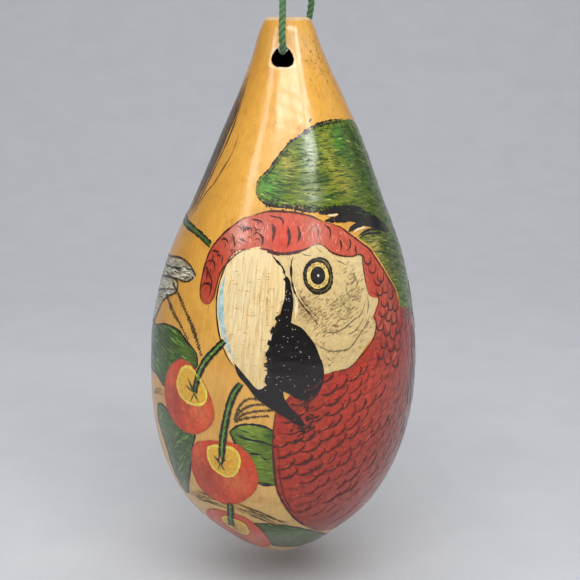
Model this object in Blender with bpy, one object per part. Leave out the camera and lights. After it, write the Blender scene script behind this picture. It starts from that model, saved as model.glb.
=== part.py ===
"""A pear-shaped gourd rattle that hangs by a cord loop through its neck.

The gourd is one hollow shell. Its narrow neck is the handle. A worn, drop-shaped hole in
the front of the neck and a small round one in its back carry the cord. The two strands of
the cord rise to an overhand knot, and the hook that holds the rattle passes under that
knot. Loose seeds lie in the bowl of the shell, in rings around its lowest point.

Frame: metres, +Z up, -Y is the painted front. The origin is inside the top of the cord
loop, just under the knot, where the hook bears. The cord hole lies straight below it.
"""

import math

import bmesh
import bpy
from mathutils import Matrix, Vector
from mathutils.geometry import interpolate_bezier

MM = 0.001

# Driving dimensions, in millimetres.
LOOP_DROP = 38.0            # from the origin down to the sawn top of the neck
WALL = 2.8                  # thickness of the gourd's shell
CAVITY_CEILING = 4.2        # depth of the solid cap at the top of the neck
HOLE_DEPTH = 8.2            # middle of the front hole below the sawn top
CORD_DIAMETER = 1.5
CORD_DEPTH = 7.1            # the cord where it crosses the neck, below the sawn top
REAR_HOLE_RADIUS = 1.15     # the back hole is round, with the cord in its middle
SEED_LENGTH = 7.0
SEED_WIDTH = 4.2
SEED_THICKNESS = 2.0
SEED_CLEARANCE = 0.35       # from a seed's underside to the shell

# Outline of the gourd: depth below the sawn top, radius, and sideways drift of its middle.
GOURD_OUTLINE = [
    (0.0, 4.4, 1.1),
    (0.4, 5.0, 1.1),
    (2.0, 5.9, 1.1),
    (5.0, 7.0, 1.1),
    (9.0, 8.4, 1.3),
    (17.0, 11.9, 1.7),
    (27.0, 16.4, 1.7),
    (40.0, 21.6, 1.2),
    (54.0, 27.3, 0.6),
    (68.0, 30.5, 0.1),
    (80.0, 31.4, -0.1),
    (92.0, 30.8, -0.5),
    (103.0, 28.2, -0.8),
    (112.5, 23.2, -1.0),
    (120.0, 15.8, -1.0),
    (125.5, 8.4, -1.0),
    (129.0, 0.0, -1.0),
]

# Right half of the front hole's outline, from its narrow top down: across and up.
HOLE_OUTLINE = [(0.0, 2.8), (1.25, 1.7), (2.5, -0.5), (1.8, -2.15), (0.0, -2.4)]
HOLE_REACH = 14.0           # how far each cut runs out of the hollow neck

# The cord's route: across, depth and height from the origin. It starts at the knot,
# comes down the front, crosses the neck and rises behind, bowed to the right.
CORD_ROUTE = [
    (0.0, -0.85, 0.1),
    (0.05, -1.5, -3.0),
    (0.1, -3.6, -12.0),
    (0.1, -6.4, -25.0),
    (0.0, -9.2, -37.5),
    (-0.1, -10.1, -41.6),
    (0.0, -9.5, -44.1),
    (0.0, -7.6, -45.1),
    (0.0, -3.0, -45.1),
    (0.0, 3.0, -45.1),
    (0.0, 7.6, -45.1),
    (1.2, 9.7, -44.5),
    (4.1, 10.5, -42.2),
    (6.0, 9.7, -38.2),
    (6.6, 8.4, -32.5),
    (6.1, 6.6, -25.0),
    (4.1, 4.2, -15.0),
    (1.3, 1.9, -5.5),
    (0.0, 0.85, 0.1),
]
CORD_POINTS_PER_SPAN = 3

KNOT_MIDDLE = 3.0           # height of the knot's middle above the origin
KNOT_RADII = (2.3, 2.1, 2.5)
TAIL_ROUTES = [
    [(-0.7, -0.2, 3.6), (-1.3, -0.4, 6.6), (-2.5, -0.7, 10.4), (-2.9, -0.9, 12.4)],
    [(0.7, 0.2, 3.6), (1.2, 0.5, 6.6), (2.1, 0.9, 9.4), (2.9, 1.0, 11.6)],
]

# Rings of seeds around the lowest point of the bowl: ring radius and number of seeds.
SEED_RINGS = [(0.0, 1), (6.2, 4), (11.2, 8), (16.2, 12)]

OUTER_SEGMENTS = 48
INNER_SEGMENTS = 32
HOLE_SEGMENTS = 20
STEPS_PER_SPAN = 2
HOLE_STEPS = 3
TAIL_STEPS = 3
KNOT_SEGMENTS = 16
KNOT_RINGS = 10
SEED_SEGMENTS = 10
SEED_LEVELS = 6
BEVEL_RESOLUTION = 2
SMALLEST_RADIUS = 1.0       # the inner wall closes at its pole below this radius
POLE = 1e-6                 # a ring of less than this radius is a single point
SHARP_ANGLE = math.radians(40.0)
SEED_NARROWING = 0.55       # how much of its width a seed loses at its pointed end
SEED_BEARING = 0.8          # share of a seed's half length that bears on the bowl
SEED_FIRST_PLACE = 0.25     # turn of each ring's first seed, as a share of the spacing


def clear_scene():
    for item in list(bpy.data.objects):
        bpy.data.objects.remove(item, do_unlink=True)


def plain_material(name, color, roughness):
    material = bpy.data.materials.new(name)
    material.use_nodes = True
    shader = material.node_tree.nodes["Principled BSDF"]
    shader.inputs["Base Color"].default_value = (*color, 1.0)
    shader.inputs["Roughness"].default_value = roughness
    shader.inputs["Metallic"].default_value = 0.0
    return material


def smooth_through(points, steps, before=None, after=None):
    """A smooth curve through the points, with the given steps in each span."""
    points = [Vector(point) for point in points]
    first = Vector(before) if before else 2.0 * points[0] - points[1]
    last = Vector(after) if after else 2.0 * points[-1] - points[-2]
    padded = [first] + points + [last]
    curve = [points[0]]
    for index in range(1, len(padded) - 2):
        start, end = padded[index], padded[index + 1]
        reach = (end - start).length / 3.0
        leave = (end - padded[index - 1]).normalized() * reach
        arrive = (padded[index + 2] - start).normalized() * reach
        span = interpolate_bezier(start, start + leave, end - arrive, end, steps + 1)
        curve.extend(span[1:])
    return curve


def outer_profile():
    """Points (depth, radius, drift) down the outside; the bottom is smooth at its pole."""
    depth, radius, drift = GOURD_OUTLINE[-2]
    return smooth_through(GOURD_OUTLINE, STEPS_PER_SPAN, after=(depth, -radius, drift))


def inner_profile():
    """The outside moved in by the wall, below the solid cap at the top of the neck."""
    outside = outer_profile()
    inside = []
    for index in range(1, len(outside) - 1):
        run = outside[index + 1] - outside[index - 1]
        inward = Vector((run.y, -run.x, 0.0)).normalized()
        point = outside[index] + inward * WALL
        if point.x > CAVITY_CEILING and point.y > SMALLEST_RADIUS:
            inside.append(point)
    bottom = outside[-1]
    inside.append(Vector((bottom.x - WALL, 0.0, bottom.z)))
    return inside


def add_ring(mesh, profile_point, segments):
    depth, radius, drift = profile_point
    height = -(LOOP_DROP + depth)
    if radius < POLE:
        return [mesh.verts.new(Vector((drift, 0.0, height)) * MM)]
    ring = []
    for index in range(segments):
        angle = 2.0 * math.pi * index / segments
        across = drift + radius * math.sin(angle)
        away = -radius * math.cos(angle)
        ring.append(mesh.verts.new(Vector((across, away, height)) * MM))
    return ring


def join_rings(mesh, upper, lower):
    """Faces between two rings, whose lower one may be a single point."""
    count = len(upper)
    for index in range(count):
        following = (index + 1) % count
        if len(lower) == 1:
            mesh.faces.new((upper[index], lower[0], upper[following]))
        else:
            mesh.faces.new((upper[index], lower[index], lower[following], upper[following]))


def add_turned_skin(mesh, profile, segments, facing_in):
    """A closed skin around the drifting middle line, capped flat at its top."""
    start = len(mesh.faces)
    rings = [add_ring(mesh, point, segments) for point in profile]
    for upper, lower in zip(rings, rings[1:]):
        join_rings(mesh, upper, lower)
    mesh.faces.new(rings[0])
    mesh.faces.ensure_lookup_table()
    if facing_in:
        bmesh.ops.reverse_faces(mesh, faces=mesh.faces[start:])


def mesh_object(name, mesh, material):
    data = bpy.data.meshes.new(name)
    mesh.to_mesh(data)
    mesh.free()
    data.materials.append(material)
    data.shade_smooth()
    data.set_sharp_from_angle(angle=SHARP_ANGLE)
    item = bpy.data.objects.new(name, data)
    bpy.context.scene.collection.objects.link(item)
    return item


def hide_tool(item):
    item.hide_render = True
    item.display_type = "WIRE"


def add_boolean(item, tool, operation):
    modifier = item.modifiers.new(tool.name, "BOOLEAN")
    modifier.operation = operation
    modifier.solver = "EXACT"
    modifier.object = tool


def make_front_cutter(material):
    """The worn front hole: a rounded drop shape, narrow end up."""
    half = [(across, up, 0.0) for across, up in HOLE_OUTLINE]
    top_side = (-HOLE_OUTLINE[1][0], HOLE_OUTLINE[1][1], 0.0)
    bottom_side = (-HOLE_OUTLINE[-2][0], HOLE_OUTLINE[-2][1], 0.0)
    right = smooth_through(half, HOLE_STEPS, before=top_side, after=bottom_side)
    left = [Vector((-point.x, point.y, 0.0)) for point in right[-2:0:-1]]
    mesh = bmesh.new()
    height = -(LOOP_DROP + HOLE_DEPTH)
    outline = []
    for point in right + left:
        outline.append(mesh.verts.new(Vector((point.x, -HOLE_REACH, height + point.y)) * MM))
    face = mesh.faces.new(outline)
    extruded = bmesh.ops.extrude_face_region(mesh, geom=[face])
    moved = [part for part in extruded["geom"] if isinstance(part, bmesh.types.BMVert)]
    bmesh.ops.translate(mesh, verts=moved, vec=(0.0, HOLE_REACH * MM, 0.0))
    bmesh.ops.recalc_face_normals(mesh, faces=mesh.faces)
    cutter = mesh_object("front_hole_cutter", mesh, material)
    hide_tool(cutter)
    return cutter


def make_rear_cutter(material):
    """The round back hole, in line with the cord."""
    mesh = bmesh.new()
    bmesh.ops.create_cone(
        mesh,
        cap_ends=True,
        segments=HOLE_SEGMENTS,
        radius1=REAR_HOLE_RADIUS * MM,
        radius2=REAR_HOLE_RADIUS * MM,
        depth=HOLE_REACH * MM,
    )
    place = Matrix.Translation(Vector((0.0, HOLE_REACH / 2.0, -(LOOP_DROP + CORD_DEPTH))) * MM)
    turn = Matrix.Rotation(math.pi / 2.0, 4, "X")
    bmesh.ops.transform(mesh, matrix=place @ turn, verts=mesh.verts)
    cutter = mesh_object("rear_hole_cutter", mesh, material)
    hide_tool(cutter)
    return cutter


def make_gourd_shell(material):
    mesh = bmesh.new()
    add_turned_skin(mesh, outer_profile(), OUTER_SEGMENTS, facing_in=False)
    add_turned_skin(mesh, inner_profile(), INNER_SEGMENTS, facing_in=True)
    shell = mesh_object("gourd_shell", mesh, material)
    add_boolean(shell, make_front_cutter(material), "DIFFERENCE")
    add_boolean(shell, make_rear_cutter(material), "DIFFERENCE")
    return shell


def make_cord_tube(name, route, points_per_span, material):
    data = bpy.data.curves.new(name, "CURVE")
    data.dimensions = "3D"
    data.bevel_depth = CORD_DIAMETER / 2.0 * MM
    data.bevel_resolution = BEVEL_RESOLUTION
    data.use_fill_caps = True
    data.materials.append(material)
    points = smooth_through(route, points_per_span)
    spline = data.splines.new("POLY")
    spline.points.add(len(points) - 1)
    for target, point in zip(spline.points, points):
        target.co = (*(point * MM), 1.0)
    item = bpy.data.objects.new(name, data)
    bpy.context.scene.collection.objects.link(item)
    return item


def make_loop_knot(material):
    """The tight overhand knot above the loop, with the cord's two cut ends."""
    mesh = bmesh.new()
    bmesh.ops.create_uvsphere(mesh, u_segments=KNOT_SEGMENTS, v_segments=KNOT_RINGS, radius=1.0)
    size = Matrix.Diagonal((*(Vector(KNOT_RADII) * MM), 1.0))
    place = Matrix.Translation((0.0, 0.0, KNOT_MIDDLE * MM))
    bmesh.ops.transform(mesh, matrix=place @ size, verts=mesh.verts)
    knot = mesh_object("loop_knot", mesh, material)
    for number, route in enumerate(TAIL_ROUTES, start=1):
        tail = make_cord_tube(f"knot_tail_{number}", route, TAIL_STEPS, material)
        as_mesh = bpy.data.meshes.new_from_object(tail)
        solid = bpy.data.objects.new(f"knot_tail_solid_{number}", as_mesh)
        bpy.context.scene.collection.objects.link(solid)
        bpy.data.objects.remove(tail, do_unlink=True)
        hide_tool(solid)
        add_boolean(knot, solid, "UNION")
    return knot


def make_seed_mesh(material):
    """A flat seed, long along Y and pointed at its +Y end."""
    mesh = bmesh.new()
    bmesh.ops.create_uvsphere(mesh, u_segments=SEED_SEGMENTS, v_segments=SEED_LEVELS, radius=0.5)
    for vertex in mesh.verts:
        narrowing = 1.0 - SEED_NARROWING * max(0.0, 2.0 * vertex.co.y) ** 2
        vertex.co.x *= SEED_WIDTH * MM * narrowing
        vertex.co.y *= SEED_LENGTH * MM
        vertex.co.z *= SEED_THICKNESS * MM
    data = bpy.data.meshes.new("seed")
    mesh.to_mesh(data)
    mesh.free()
    data.materials.append(material)
    data.shade_smooth()
    return data


def bowl_at(radius):
    """Depth, slope and drift of the inside wall where the bowl has this radius."""
    rising = inner_profile()[::-1]
    for lower, upper in zip(rising, rising[1:]):
        if upper.y >= radius:
            share = (radius - lower.y) / (upper.y - lower.y)
            depth = lower.x + share * (upper.x - lower.x)
            slope = math.atan2(lower.x - upper.x, upper.y - lower.y)
            return depth, slope, lower.z
    raise ValueError("no bowl at this radius")


def make_seeds(material):
    data = make_seed_mesh(material)
    number = 0
    for radius, count in SEED_RINGS:
        depth, slope, drift = bowl_at(radius)
        bearing = SEED_BEARING * SEED_LENGTH / 2.0
        tip_depth = bowl_at(math.hypot(radius, bearing))[0]
        if count == 1:
            slope = 0.0
        lift = SEED_THICKNESS / 2.0 + SEED_CLEARANCE + (depth - tip_depth) * math.cos(slope)
        for place in range(count):
            number += 1
            angle = 2.0 * math.pi * (place + SEED_FIRST_PLACE) / count
            outward = Vector((math.cos(angle), math.sin(angle), 0.0))
            along = Vector((-math.sin(angle), math.cos(angle), 0.0))
            up_wall = outward * math.cos(slope) + Vector((0.0, 0.0, math.sin(slope)))
            normal = up_wall.cross(along)
            wall_point = Vector((drift, 0.0, -(LOOP_DROP + depth))) + outward * radius
            seed = bpy.data.objects.new(f"seed_{number:02d}", data)
            turn = Matrix((up_wall, along, normal)).transposed().to_4x4()
            seed.matrix_world = Matrix.Translation((wall_point + normal * lift) * MM) @ turn
            bpy.context.scene.collection.objects.link(seed)


def main():
    clear_scene()
    skin = plain_material("gourd_skin", (0.72, 0.40, 0.10), 0.35)
    cord = plain_material("green_cord", (0.09, 0.30, 0.12), 0.75)
    husk = plain_material("dry_seed", (0.30, 0.17, 0.08), 0.7)
    make_gourd_shell(skin)
    make_cord_tube("hanging_cord", CORD_ROUTE, CORD_POINTS_PER_SPAN, cord)
    make_loop_knot(cord)
    make_seeds(husk)


main()
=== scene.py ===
"""Looks of the hanging gourd rattle: skin, painting, cord and light around the CAD frame."""

import math
import random

import bmesh
import bpy
import numpy as np
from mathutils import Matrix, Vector
from mathutils.geometry import interpolate_bezier


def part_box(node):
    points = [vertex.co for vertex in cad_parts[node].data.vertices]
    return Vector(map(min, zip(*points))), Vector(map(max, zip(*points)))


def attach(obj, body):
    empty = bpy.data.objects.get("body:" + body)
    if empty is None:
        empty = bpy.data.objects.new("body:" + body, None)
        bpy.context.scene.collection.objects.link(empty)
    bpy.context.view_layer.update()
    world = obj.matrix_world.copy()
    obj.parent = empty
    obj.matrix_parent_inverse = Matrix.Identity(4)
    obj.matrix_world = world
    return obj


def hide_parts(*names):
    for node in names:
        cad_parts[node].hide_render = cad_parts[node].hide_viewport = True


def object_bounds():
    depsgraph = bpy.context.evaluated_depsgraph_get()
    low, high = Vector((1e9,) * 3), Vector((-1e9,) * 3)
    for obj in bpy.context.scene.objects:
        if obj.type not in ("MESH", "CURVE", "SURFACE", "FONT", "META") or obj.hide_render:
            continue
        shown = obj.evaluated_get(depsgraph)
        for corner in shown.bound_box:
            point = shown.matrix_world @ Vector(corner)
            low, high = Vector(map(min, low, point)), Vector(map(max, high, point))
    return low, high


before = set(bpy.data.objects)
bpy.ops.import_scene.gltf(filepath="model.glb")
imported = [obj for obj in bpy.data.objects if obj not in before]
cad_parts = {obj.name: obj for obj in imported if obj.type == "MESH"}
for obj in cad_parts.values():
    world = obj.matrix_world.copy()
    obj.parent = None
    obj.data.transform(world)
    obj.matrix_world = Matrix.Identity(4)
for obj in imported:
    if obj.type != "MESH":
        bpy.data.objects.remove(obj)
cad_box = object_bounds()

MM = 0.001
COAT = 0.8                                  # lacquer over skin, paint and ink
COAT_ROUGHNESS = 0.17
BASE_GLOSS = 0.12                           # specular level of what lies under the lacquer
PEN_SPREAD = 1.3                            # how much wider a line dries than it is drawn
GOURD = "gourd"
LOOP = "hanging_loop"
NECK_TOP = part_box("gourd_shell")[1][2]      # height of the sawn neck top, in metres
FLOOR_GAP = 0.007

# ---------------------------------------------------------------- shape of the gourd

# Outline as in the CAD: depth below the sawn top, radius, sideways drift, in millimetres.
GOURD_OUTLINE = [
    (0.0, 4.4, 1.1), (0.4, 5.0, 1.1), (2.0, 5.9, 1.1), (5.0, 7.0, 1.1),
    (9.0, 8.4, 1.3), (17.0, 11.9, 1.7), (27.0, 16.4, 1.7), (40.0, 21.6, 1.2),
    (54.0, 27.3, 0.6), (68.0, 30.5, 0.1), (80.0, 31.4, -0.1), (92.0, 30.8, -0.5),
    (103.0, 28.2, -0.8), (112.5, 23.2, -1.0), (120.0, 15.8, -1.0), (125.5, 8.4, -1.0),
    (129.0, 0.0, -1.0),
]
WALL = 2.8
CAVITY_CEILING = 4.2
CAVITY_FLOOR = 125.0                        # the last ring of the hollow lies above this depth
HOLE_DEPTH = 8.2
CORD_DEPTH = 7.1
GOURD_DEPTH = GOURD_OUTLINE[-1][0]
REAR_HOLE_RADIUS = 1.15
HOLE_OUTLINE = [(0.0, 2.8), (1.25, 1.7), (2.5, -0.5), (1.8, -2.15), (0.0, -2.4)]
SEGMENTS = 200
DEGREE = 0.5                                # flat size of one degree while a film is cut


def smooth_through(points, steps, before=None, after=None):
    """A smooth curve through the points, with the given steps in each span."""
    points = [Vector((*point, 0.0)[:3]) for point in points]
    first = Vector((*before, 0.0)[:3]) if before else 2.0 * points[0] - points[1]
    last = Vector((*after, 0.0)[:3]) if after else 2.0 * points[-1] - points[-2]
    padded = [first] + points + [last]
    curve = [points[0]]
    for index in range(1, len(padded) - 2):
        start, end = padded[index], padded[index + 1]
        reach = (end - start).length / 3.0
        leave = (end - padded[index - 1]).normalized() * reach
        arrive = (padded[index + 2] - start).normalized() * reach
        curve.extend(interpolate_bezier(start, start + leave, end - arrive, end, steps + 1)[1:])
    return curve


def smooth_loop(points, steps=5):
    """A smooth closed curve; its last point isn't repeated."""
    around = list(points) + [points[0]]
    return smooth_through(around, steps, before=points[-1], after=points[1])[:-1]


def smooth_runs(*runs, steps=5):
    """A closed outline of smooth runs that meet at corners."""
    outline = []
    for run in runs:
        outline.extend(smooth_through(run, steps)[:-1])
    return outline


_mirrored = (GOURD_OUTLINE[-2][0], -GOURD_OUTLINE[-2][1], GOURD_OUTLINE[-2][2])
PROFILE = np.array([tuple(p) for p in smooth_through(GOURD_OUTLINE, 10, after=_mirrored)])
DEPTHS, RADII, DRIFTS = PROFILE.T
_step = np.gradient(PROFILE, axis=0)
_length = np.hypot(_step[:, 0], _step[:, 1])
NORMAL_OUT = _step[:, 0] / _length
NORMAL_UP = _step[:, 1] / _length


def radius_at(depth):
    return np.interp(depth, DEPTHS, RADII)


def drift_at(depth):
    return np.interp(depth, DEPTHS, DRIFTS)


def degree_at(depth):
    """The length of one degree around the gourd, in millimetres."""
    return np.radians(1.0) * radius_at(depth)


SWELLS = ((0.10, 2.0, 0.07, 0.0), (0.07, 3.0, -0.12, 1.0))      # height, waves round, waves down, start
RIPPLE = 0.022                              # height of the small ripples, in millimetres
DENTS = (0.022, 0.014)                      # height of the two sizes of dents
UNEVEN_TOP, UNEVEN_BASE = 10.0, 128.0       # depths between which the gourd swells and ripples
DENT_TOP, DENT_BASE = 11.0, 130.0           # depths between which it is dented


def unevenness(turn, depth):
    """The gentle swellings of a grown gourd, in millimetres."""
    def wave(around, down, start=0.0):
        return np.sin(around * turn + down * depth + start)

    def ramp(distance, length):
        return np.clip(distance / length, 0.0, 1.0)

    swell = sum(height * wave(*waves) for height, *waves in SWELLS)
    ripple = RIPPLE * wave(9.0, 0.35) * wave(2.0, 0.45)
    dents = DENTS[0] * wave(17.0, -0.9) * wave(5.0, 1.15) + DENTS[1] * wave(29.0, 1.3, 2.0) * wave(-11.0, 1.9)
    fade = ramp(depth - UNEVEN_TOP, 25.0) * ramp(UNEVEN_BASE - depth, 12.0)
    return (swell + ripple) * fade + dents * ramp(np.minimum(depth - DENT_TOP, DENT_BASE - depth), 6.0)


def skin(angle, depth, lift=0.0):
    """Points in metres at an angle from the front in degrees and a depth in millimetres."""
    turn = np.radians(np.asarray(angle, float))
    depth = np.asarray(depth, float)
    out = np.interp(depth, DEPTHS, NORMAL_OUT)
    up = np.interp(depth, DEPTHS, NORMAL_UP)
    radius = radius_at(depth) + unevenness(turn, depth) + lift * out
    across = drift_at(depth) + radius * np.sin(turn)
    away = -radius * np.cos(turn)
    height = -depth + lift * up
    points = np.stack(np.broadcast_arrays(across, away, height), axis=-1) * MM
    points[..., 2] += NECK_TOP
    return points


# ---------------------------------------------------------------- mesh and material helpers

def linked(name, data):
    """A new object in the scene."""
    item = bpy.data.objects.new(name, data)
    bpy.context.scene.collection.objects.link(item)
    return item


def new_object(name, data, body):
    """A new object that moves with a body."""
    item = linked(name, data)
    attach(item, body)
    return item


def mesh_of(name, points, faces, *materials):
    data = bpy.data.meshes.new(name)
    data.from_pydata(points, [], faces)
    for material in materials:
        data.materials.append(material)
    return data


def mesh_from(name, mesh, material):
    """A mesh with the shape of a bmesh, which is freed."""
    data = bpy.data.meshes.new(name)
    mesh.to_mesh(data)
    mesh.free()
    data.materials.append(material)
    return data


def smooth(data, sharp_angle):
    data.shade_smooth()
    data.set_sharp_from_angle(angle=math.radians(sharp_angle))


def set_vectors(data, name, *parts):
    """A vector for each vertex, from its three parts."""
    vectors = np.stack(np.broadcast_arrays(*parts), axis=1).astype(np.float32)
    data.attributes.new(name, "FLOAT_VECTOR", "POINT").data.foreach_set("vector", vectors.ravel())


def set_place(data, angle, depth, away=0.0):
    """Where each vertex lies on the gourd, in millimetres, for the materials to read."""
    set_vectors(data, "place", np.asarray(angle) * DEGREE, depth, away)


def set_tone(data, colors):
    """The paint colour of each vertex."""
    opaque = np.concatenate([np.clip(colors, 0.0, 1.0), np.ones((len(colors), 1))], axis=1)
    tone = data.attributes.new("tone", "FLOAT_COLOR", "POINT")
    tone.data.foreach_set("color", opaque.astype(np.float32).ravel())


def mix(first, second, share):
    """Blend of two colours, or arrays of them, by a share for each point."""
    share = np.clip(np.asarray(share, float), 0.0, 1.0)[..., None]
    return np.asarray(first) * (1.0 - share) + np.asarray(second) * share


def washes(base, *blobs):
    """A tone function: a base colour with soft blobs (angle, depth, reach, reach, colour, strength)."""
    def tone(angle, depth):
        color = np.broadcast_to(np.asarray(base, float), (len(angle), 3))
        for middle, level, wide, tall, other, strength in blobs:
            far = ((angle - middle) / wide) ** 2 + ((depth - level) / tall) ** 2
            color = mix(color, other, strength * np.exp(-far))
        return color
    return tone


MIX_FACTOR, MIX_FIRST, MIX_SECOND, MIX_COLOR = 0, 6, 7, 2      # sockets of a Mix node set to RGBA


class Nodes:
    """Small helper that builds a material's nodes from left to right."""

    def __init__(self, name):
        self.material = bpy.data.materials.new(name)
        self.material.use_nodes = True
        self.tree = self.material.node_tree
        self.shader = self.tree.nodes["Principled BSDF"]

    def node(self, kind, **inputs):
        node = self.tree.nodes.new(kind)
        for key, value in inputs.items():
            self.put(node.inputs[key.replace("_", " ")], value)
        return node

    def put(self, socket, value):
        if hasattr(value, "is_output"):
            self.tree.links.new(value, socket)
        else:
            socket.default_value = value

    def attribute(self, name, output="Color"):
        node = self.tree.nodes.new("ShaderNodeAttribute")
        node.attribute_name = name
        return node.outputs[output]

    def noise(self, vector, scale, detail=4.0, roughness=0.6, distortion=0.0):
        """Cloudy noise over a vector that is first stretched along each axis."""
        stretched = self.node("ShaderNodeVectorMath", Vector=vector)
        stretched.operation = "MULTIPLY"
        stretched.inputs[1].default_value = scale
        node = self.node("ShaderNodeTexNoise", Vector=stretched.outputs["Vector"], Scale=1.0, Detail=detail,
                         Roughness=roughness, Distortion=distortion)
        return node.outputs["Fac"]

    def ranged(self, value, low, high, to_low=0.0, to_high=1.0):
        """The value moved from one range to another, and held inside it."""
        node = self.node("ShaderNodeMapRange", Value=value, From_Min=low, From_Max=high, To_Min=to_low,
                         To_Max=to_high)
        return node.outputs["Result"]

    def mixed(self, first, second, factor, blend="MIX"):
        node = self.tree.nodes.new("ShaderNodeMix")
        node.data_type = "RGBA"
        node.blend_type = blend
        self.put(node.inputs[MIX_FACTOR], factor)
        self.put(node.inputs[MIX_FIRST], first)
        self.put(node.inputs[MIX_SECOND], second)
        return node.outputs[MIX_COLOR]

    def shaded(self, color, value):
        """The colour times a grey value."""
        grey = self.node("ShaderNodeCombineColor", Red=value, Green=value, Blue=value)
        return self.mixed(color, grey.outputs["Color"], 1.0, "MULTIPLY")

    def bump(self, height, strength, distance):
        node = self.node("ShaderNodeBump", Height=height, Strength=strength, Distance=distance)
        self.put(self.shader.inputs["Normal"], node.outputs["Normal"])

    def close(self, color, roughness, coat=0.0, coat_roughness=0.1, sheen=0.0):
        self.put(self.shader.inputs["Base Color"], color)
        self.put(self.shader.inputs["Roughness"], roughness)
        self.shader.inputs["Specular IOR Level"].default_value = BASE_GLOSS if coat else 0.3
        self.shader.inputs["Coat Weight"].default_value = coat
        self.shader.inputs["Coat Roughness"].default_value = coat_roughness
        self.shader.inputs["Sheen Weight"].default_value = sheen
        return self.material


def rgba(color):
    return (*color, 1.0)


def paint_material(name, streaks, depth, touches=(), roughness=0.38):
    """Hand-laid paint under lacquer: the tone attribute, brush streaks and touches of colour."""
    nodes = Nodes(name)
    place = nodes.attribute("place", "Vector")
    color = nodes.attribute("tone")
    for other, scale, low, high, strength in touches:
        cover = nodes.noise(place, (*scale, 1.0), detail=5.0, roughness=0.65)
        color = nodes.mixed(color, rgba(other), nodes.ranged(cover, low, high, 0.0, strength))
    streak = nodes.noise(place, (*streaks, 1.0), detail=5.0, roughness=0.7)
    color = nodes.shaded(color, nodes.ranged(streak, 0.3, 0.7, 1.0 - depth, 1.0 + depth * 0.35))
    grain = nodes.noise(place, (5.0, 5.0, 1.0), detail=3.0, roughness=0.8)
    color = nodes.shaded(color, nodes.ranged(grain, 0.3, 0.7, 0.88, 1.06))
    nodes.bump(grain, 0.25, 0.06 * MM)
    rough = nodes.ranged(streak, 0.3, 0.7, roughness - 0.05, roughness + 0.08)
    return nodes.close(color, rough, COAT, COAT_ROUGHNESS)


def ink_material(name, color, variation):
    """Pen or burnt line: one colour that fades in patches."""
    nodes = Nodes(name)
    patchy = nodes.noise(nodes.attribute("place", "Vector"), (0.9, 0.9, 1.0), detail=5.0, roughness=0.7)
    light = tuple(min(1.0, part * (1.0 + 1.6 * variation) + 0.02 * variation) for part in color)
    tinted = nodes.mixed(rgba(color), rgba(light), nodes.ranged(patchy, 0.4, 0.7))
    nodes.bump(patchy, 0.2, 0.04 * MM)
    return nodes.close(tinted, 0.4, COAT, COAT_ROUGHNESS)


# ---------------------------------------------------------------- films of paint and pen strokes

# A layer is counted from the skin up: it says how many films high a piece lies.
FILM = 0.03                                 # thickness of one layer of paint, in millimetres
SKIRT = -0.01                               # where a film's edge ends, just inside the skin
CUT = 1.0                                   # grid on which a film follows the curved skin
CUT_SLACK = 1e-6
TOO_SHORT = 1e-5                            # edges under this length go
STROKE_TOP = 0.1                            # depths between which strokes stay
STROKE_BASE = GOURD_DEPTH - 0.5
GOURD_MIDDLE = Vector((0.0, 0.0, NECK_TOP - 80.0 * MM))         # a stroke's faces look away from here


def cut_grid(mesh):
    """Cut a flat film along a grid, so that it can bend with the skin."""
    xs = [vertex.co.x for vertex in mesh.verts]
    ys = [vertex.co.y for vertex in mesh.verts]
    lines = [((x, 0.0, 0.0), (1.0, 0.0, 0.0)) for x in np.arange(math.ceil(min(xs)), max(xs), CUT)]
    lines += [((0.0, y, 0.0), (0.0, 1.0, 0.0)) for y in np.arange(math.ceil(min(ys)), max(ys), CUT)]
    for point, normal in lines:
        geom = mesh.verts[:] + mesh.edges[:] + mesh.faces[:]
        bmesh.ops.bisect_plane(mesh, geom=geom, dist=CUT_SLACK, plane_co=point, plane_no=normal)


def film(name, outline, layer, tone, material):
    """A thin patch of paint inside a closed outline of (angle, depth) points."""
    mesh = bmesh.new()
    corners = [mesh.verts.new((point[0] * DEGREE, -point[1], 0.0)) for point in outline]
    mesh.faces.new(corners)
    mesh.normal_update()
    bmesh.ops.triangulate(mesh, faces=mesh.faces[:])
    cut_grid(mesh)
    bmesh.ops.dissolve_degenerate(mesh, dist=TOO_SHORT, edges=mesh.edges[:])
    for face in mesh.faces:
        face.normal_update()
        if face.normal.z < 0.0:
            face.normal_flip()
    rim = [edge for edge in mesh.edges if edge.is_boundary]
    skirt = bmesh.ops.extrude_edge_only(mesh, edges=rim)["geom"]
    mesh.verts.index_update()
    low = [part.index for part in skirt if isinstance(part, bmesh.types.BMVert)]
    flat = np.array([tuple(vertex.co) for vertex in mesh.verts])
    angle, depth = flat[:, 0] / DEGREE, -flat[:, 1]
    lift = np.full(len(flat), layer * FILM)
    lift[low] = SKIRT
    points = skin(angle, depth, lift)
    for vertex, point in zip(mesh.verts, points):
        vertex.co = point
    data = mesh_from(name, mesh, material)
    smooth(data, 50.0)
    set_place(data, angle, depth)
    set_tone(data, tone(angle, depth))
    new_object(name, data, GOURD)


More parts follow.
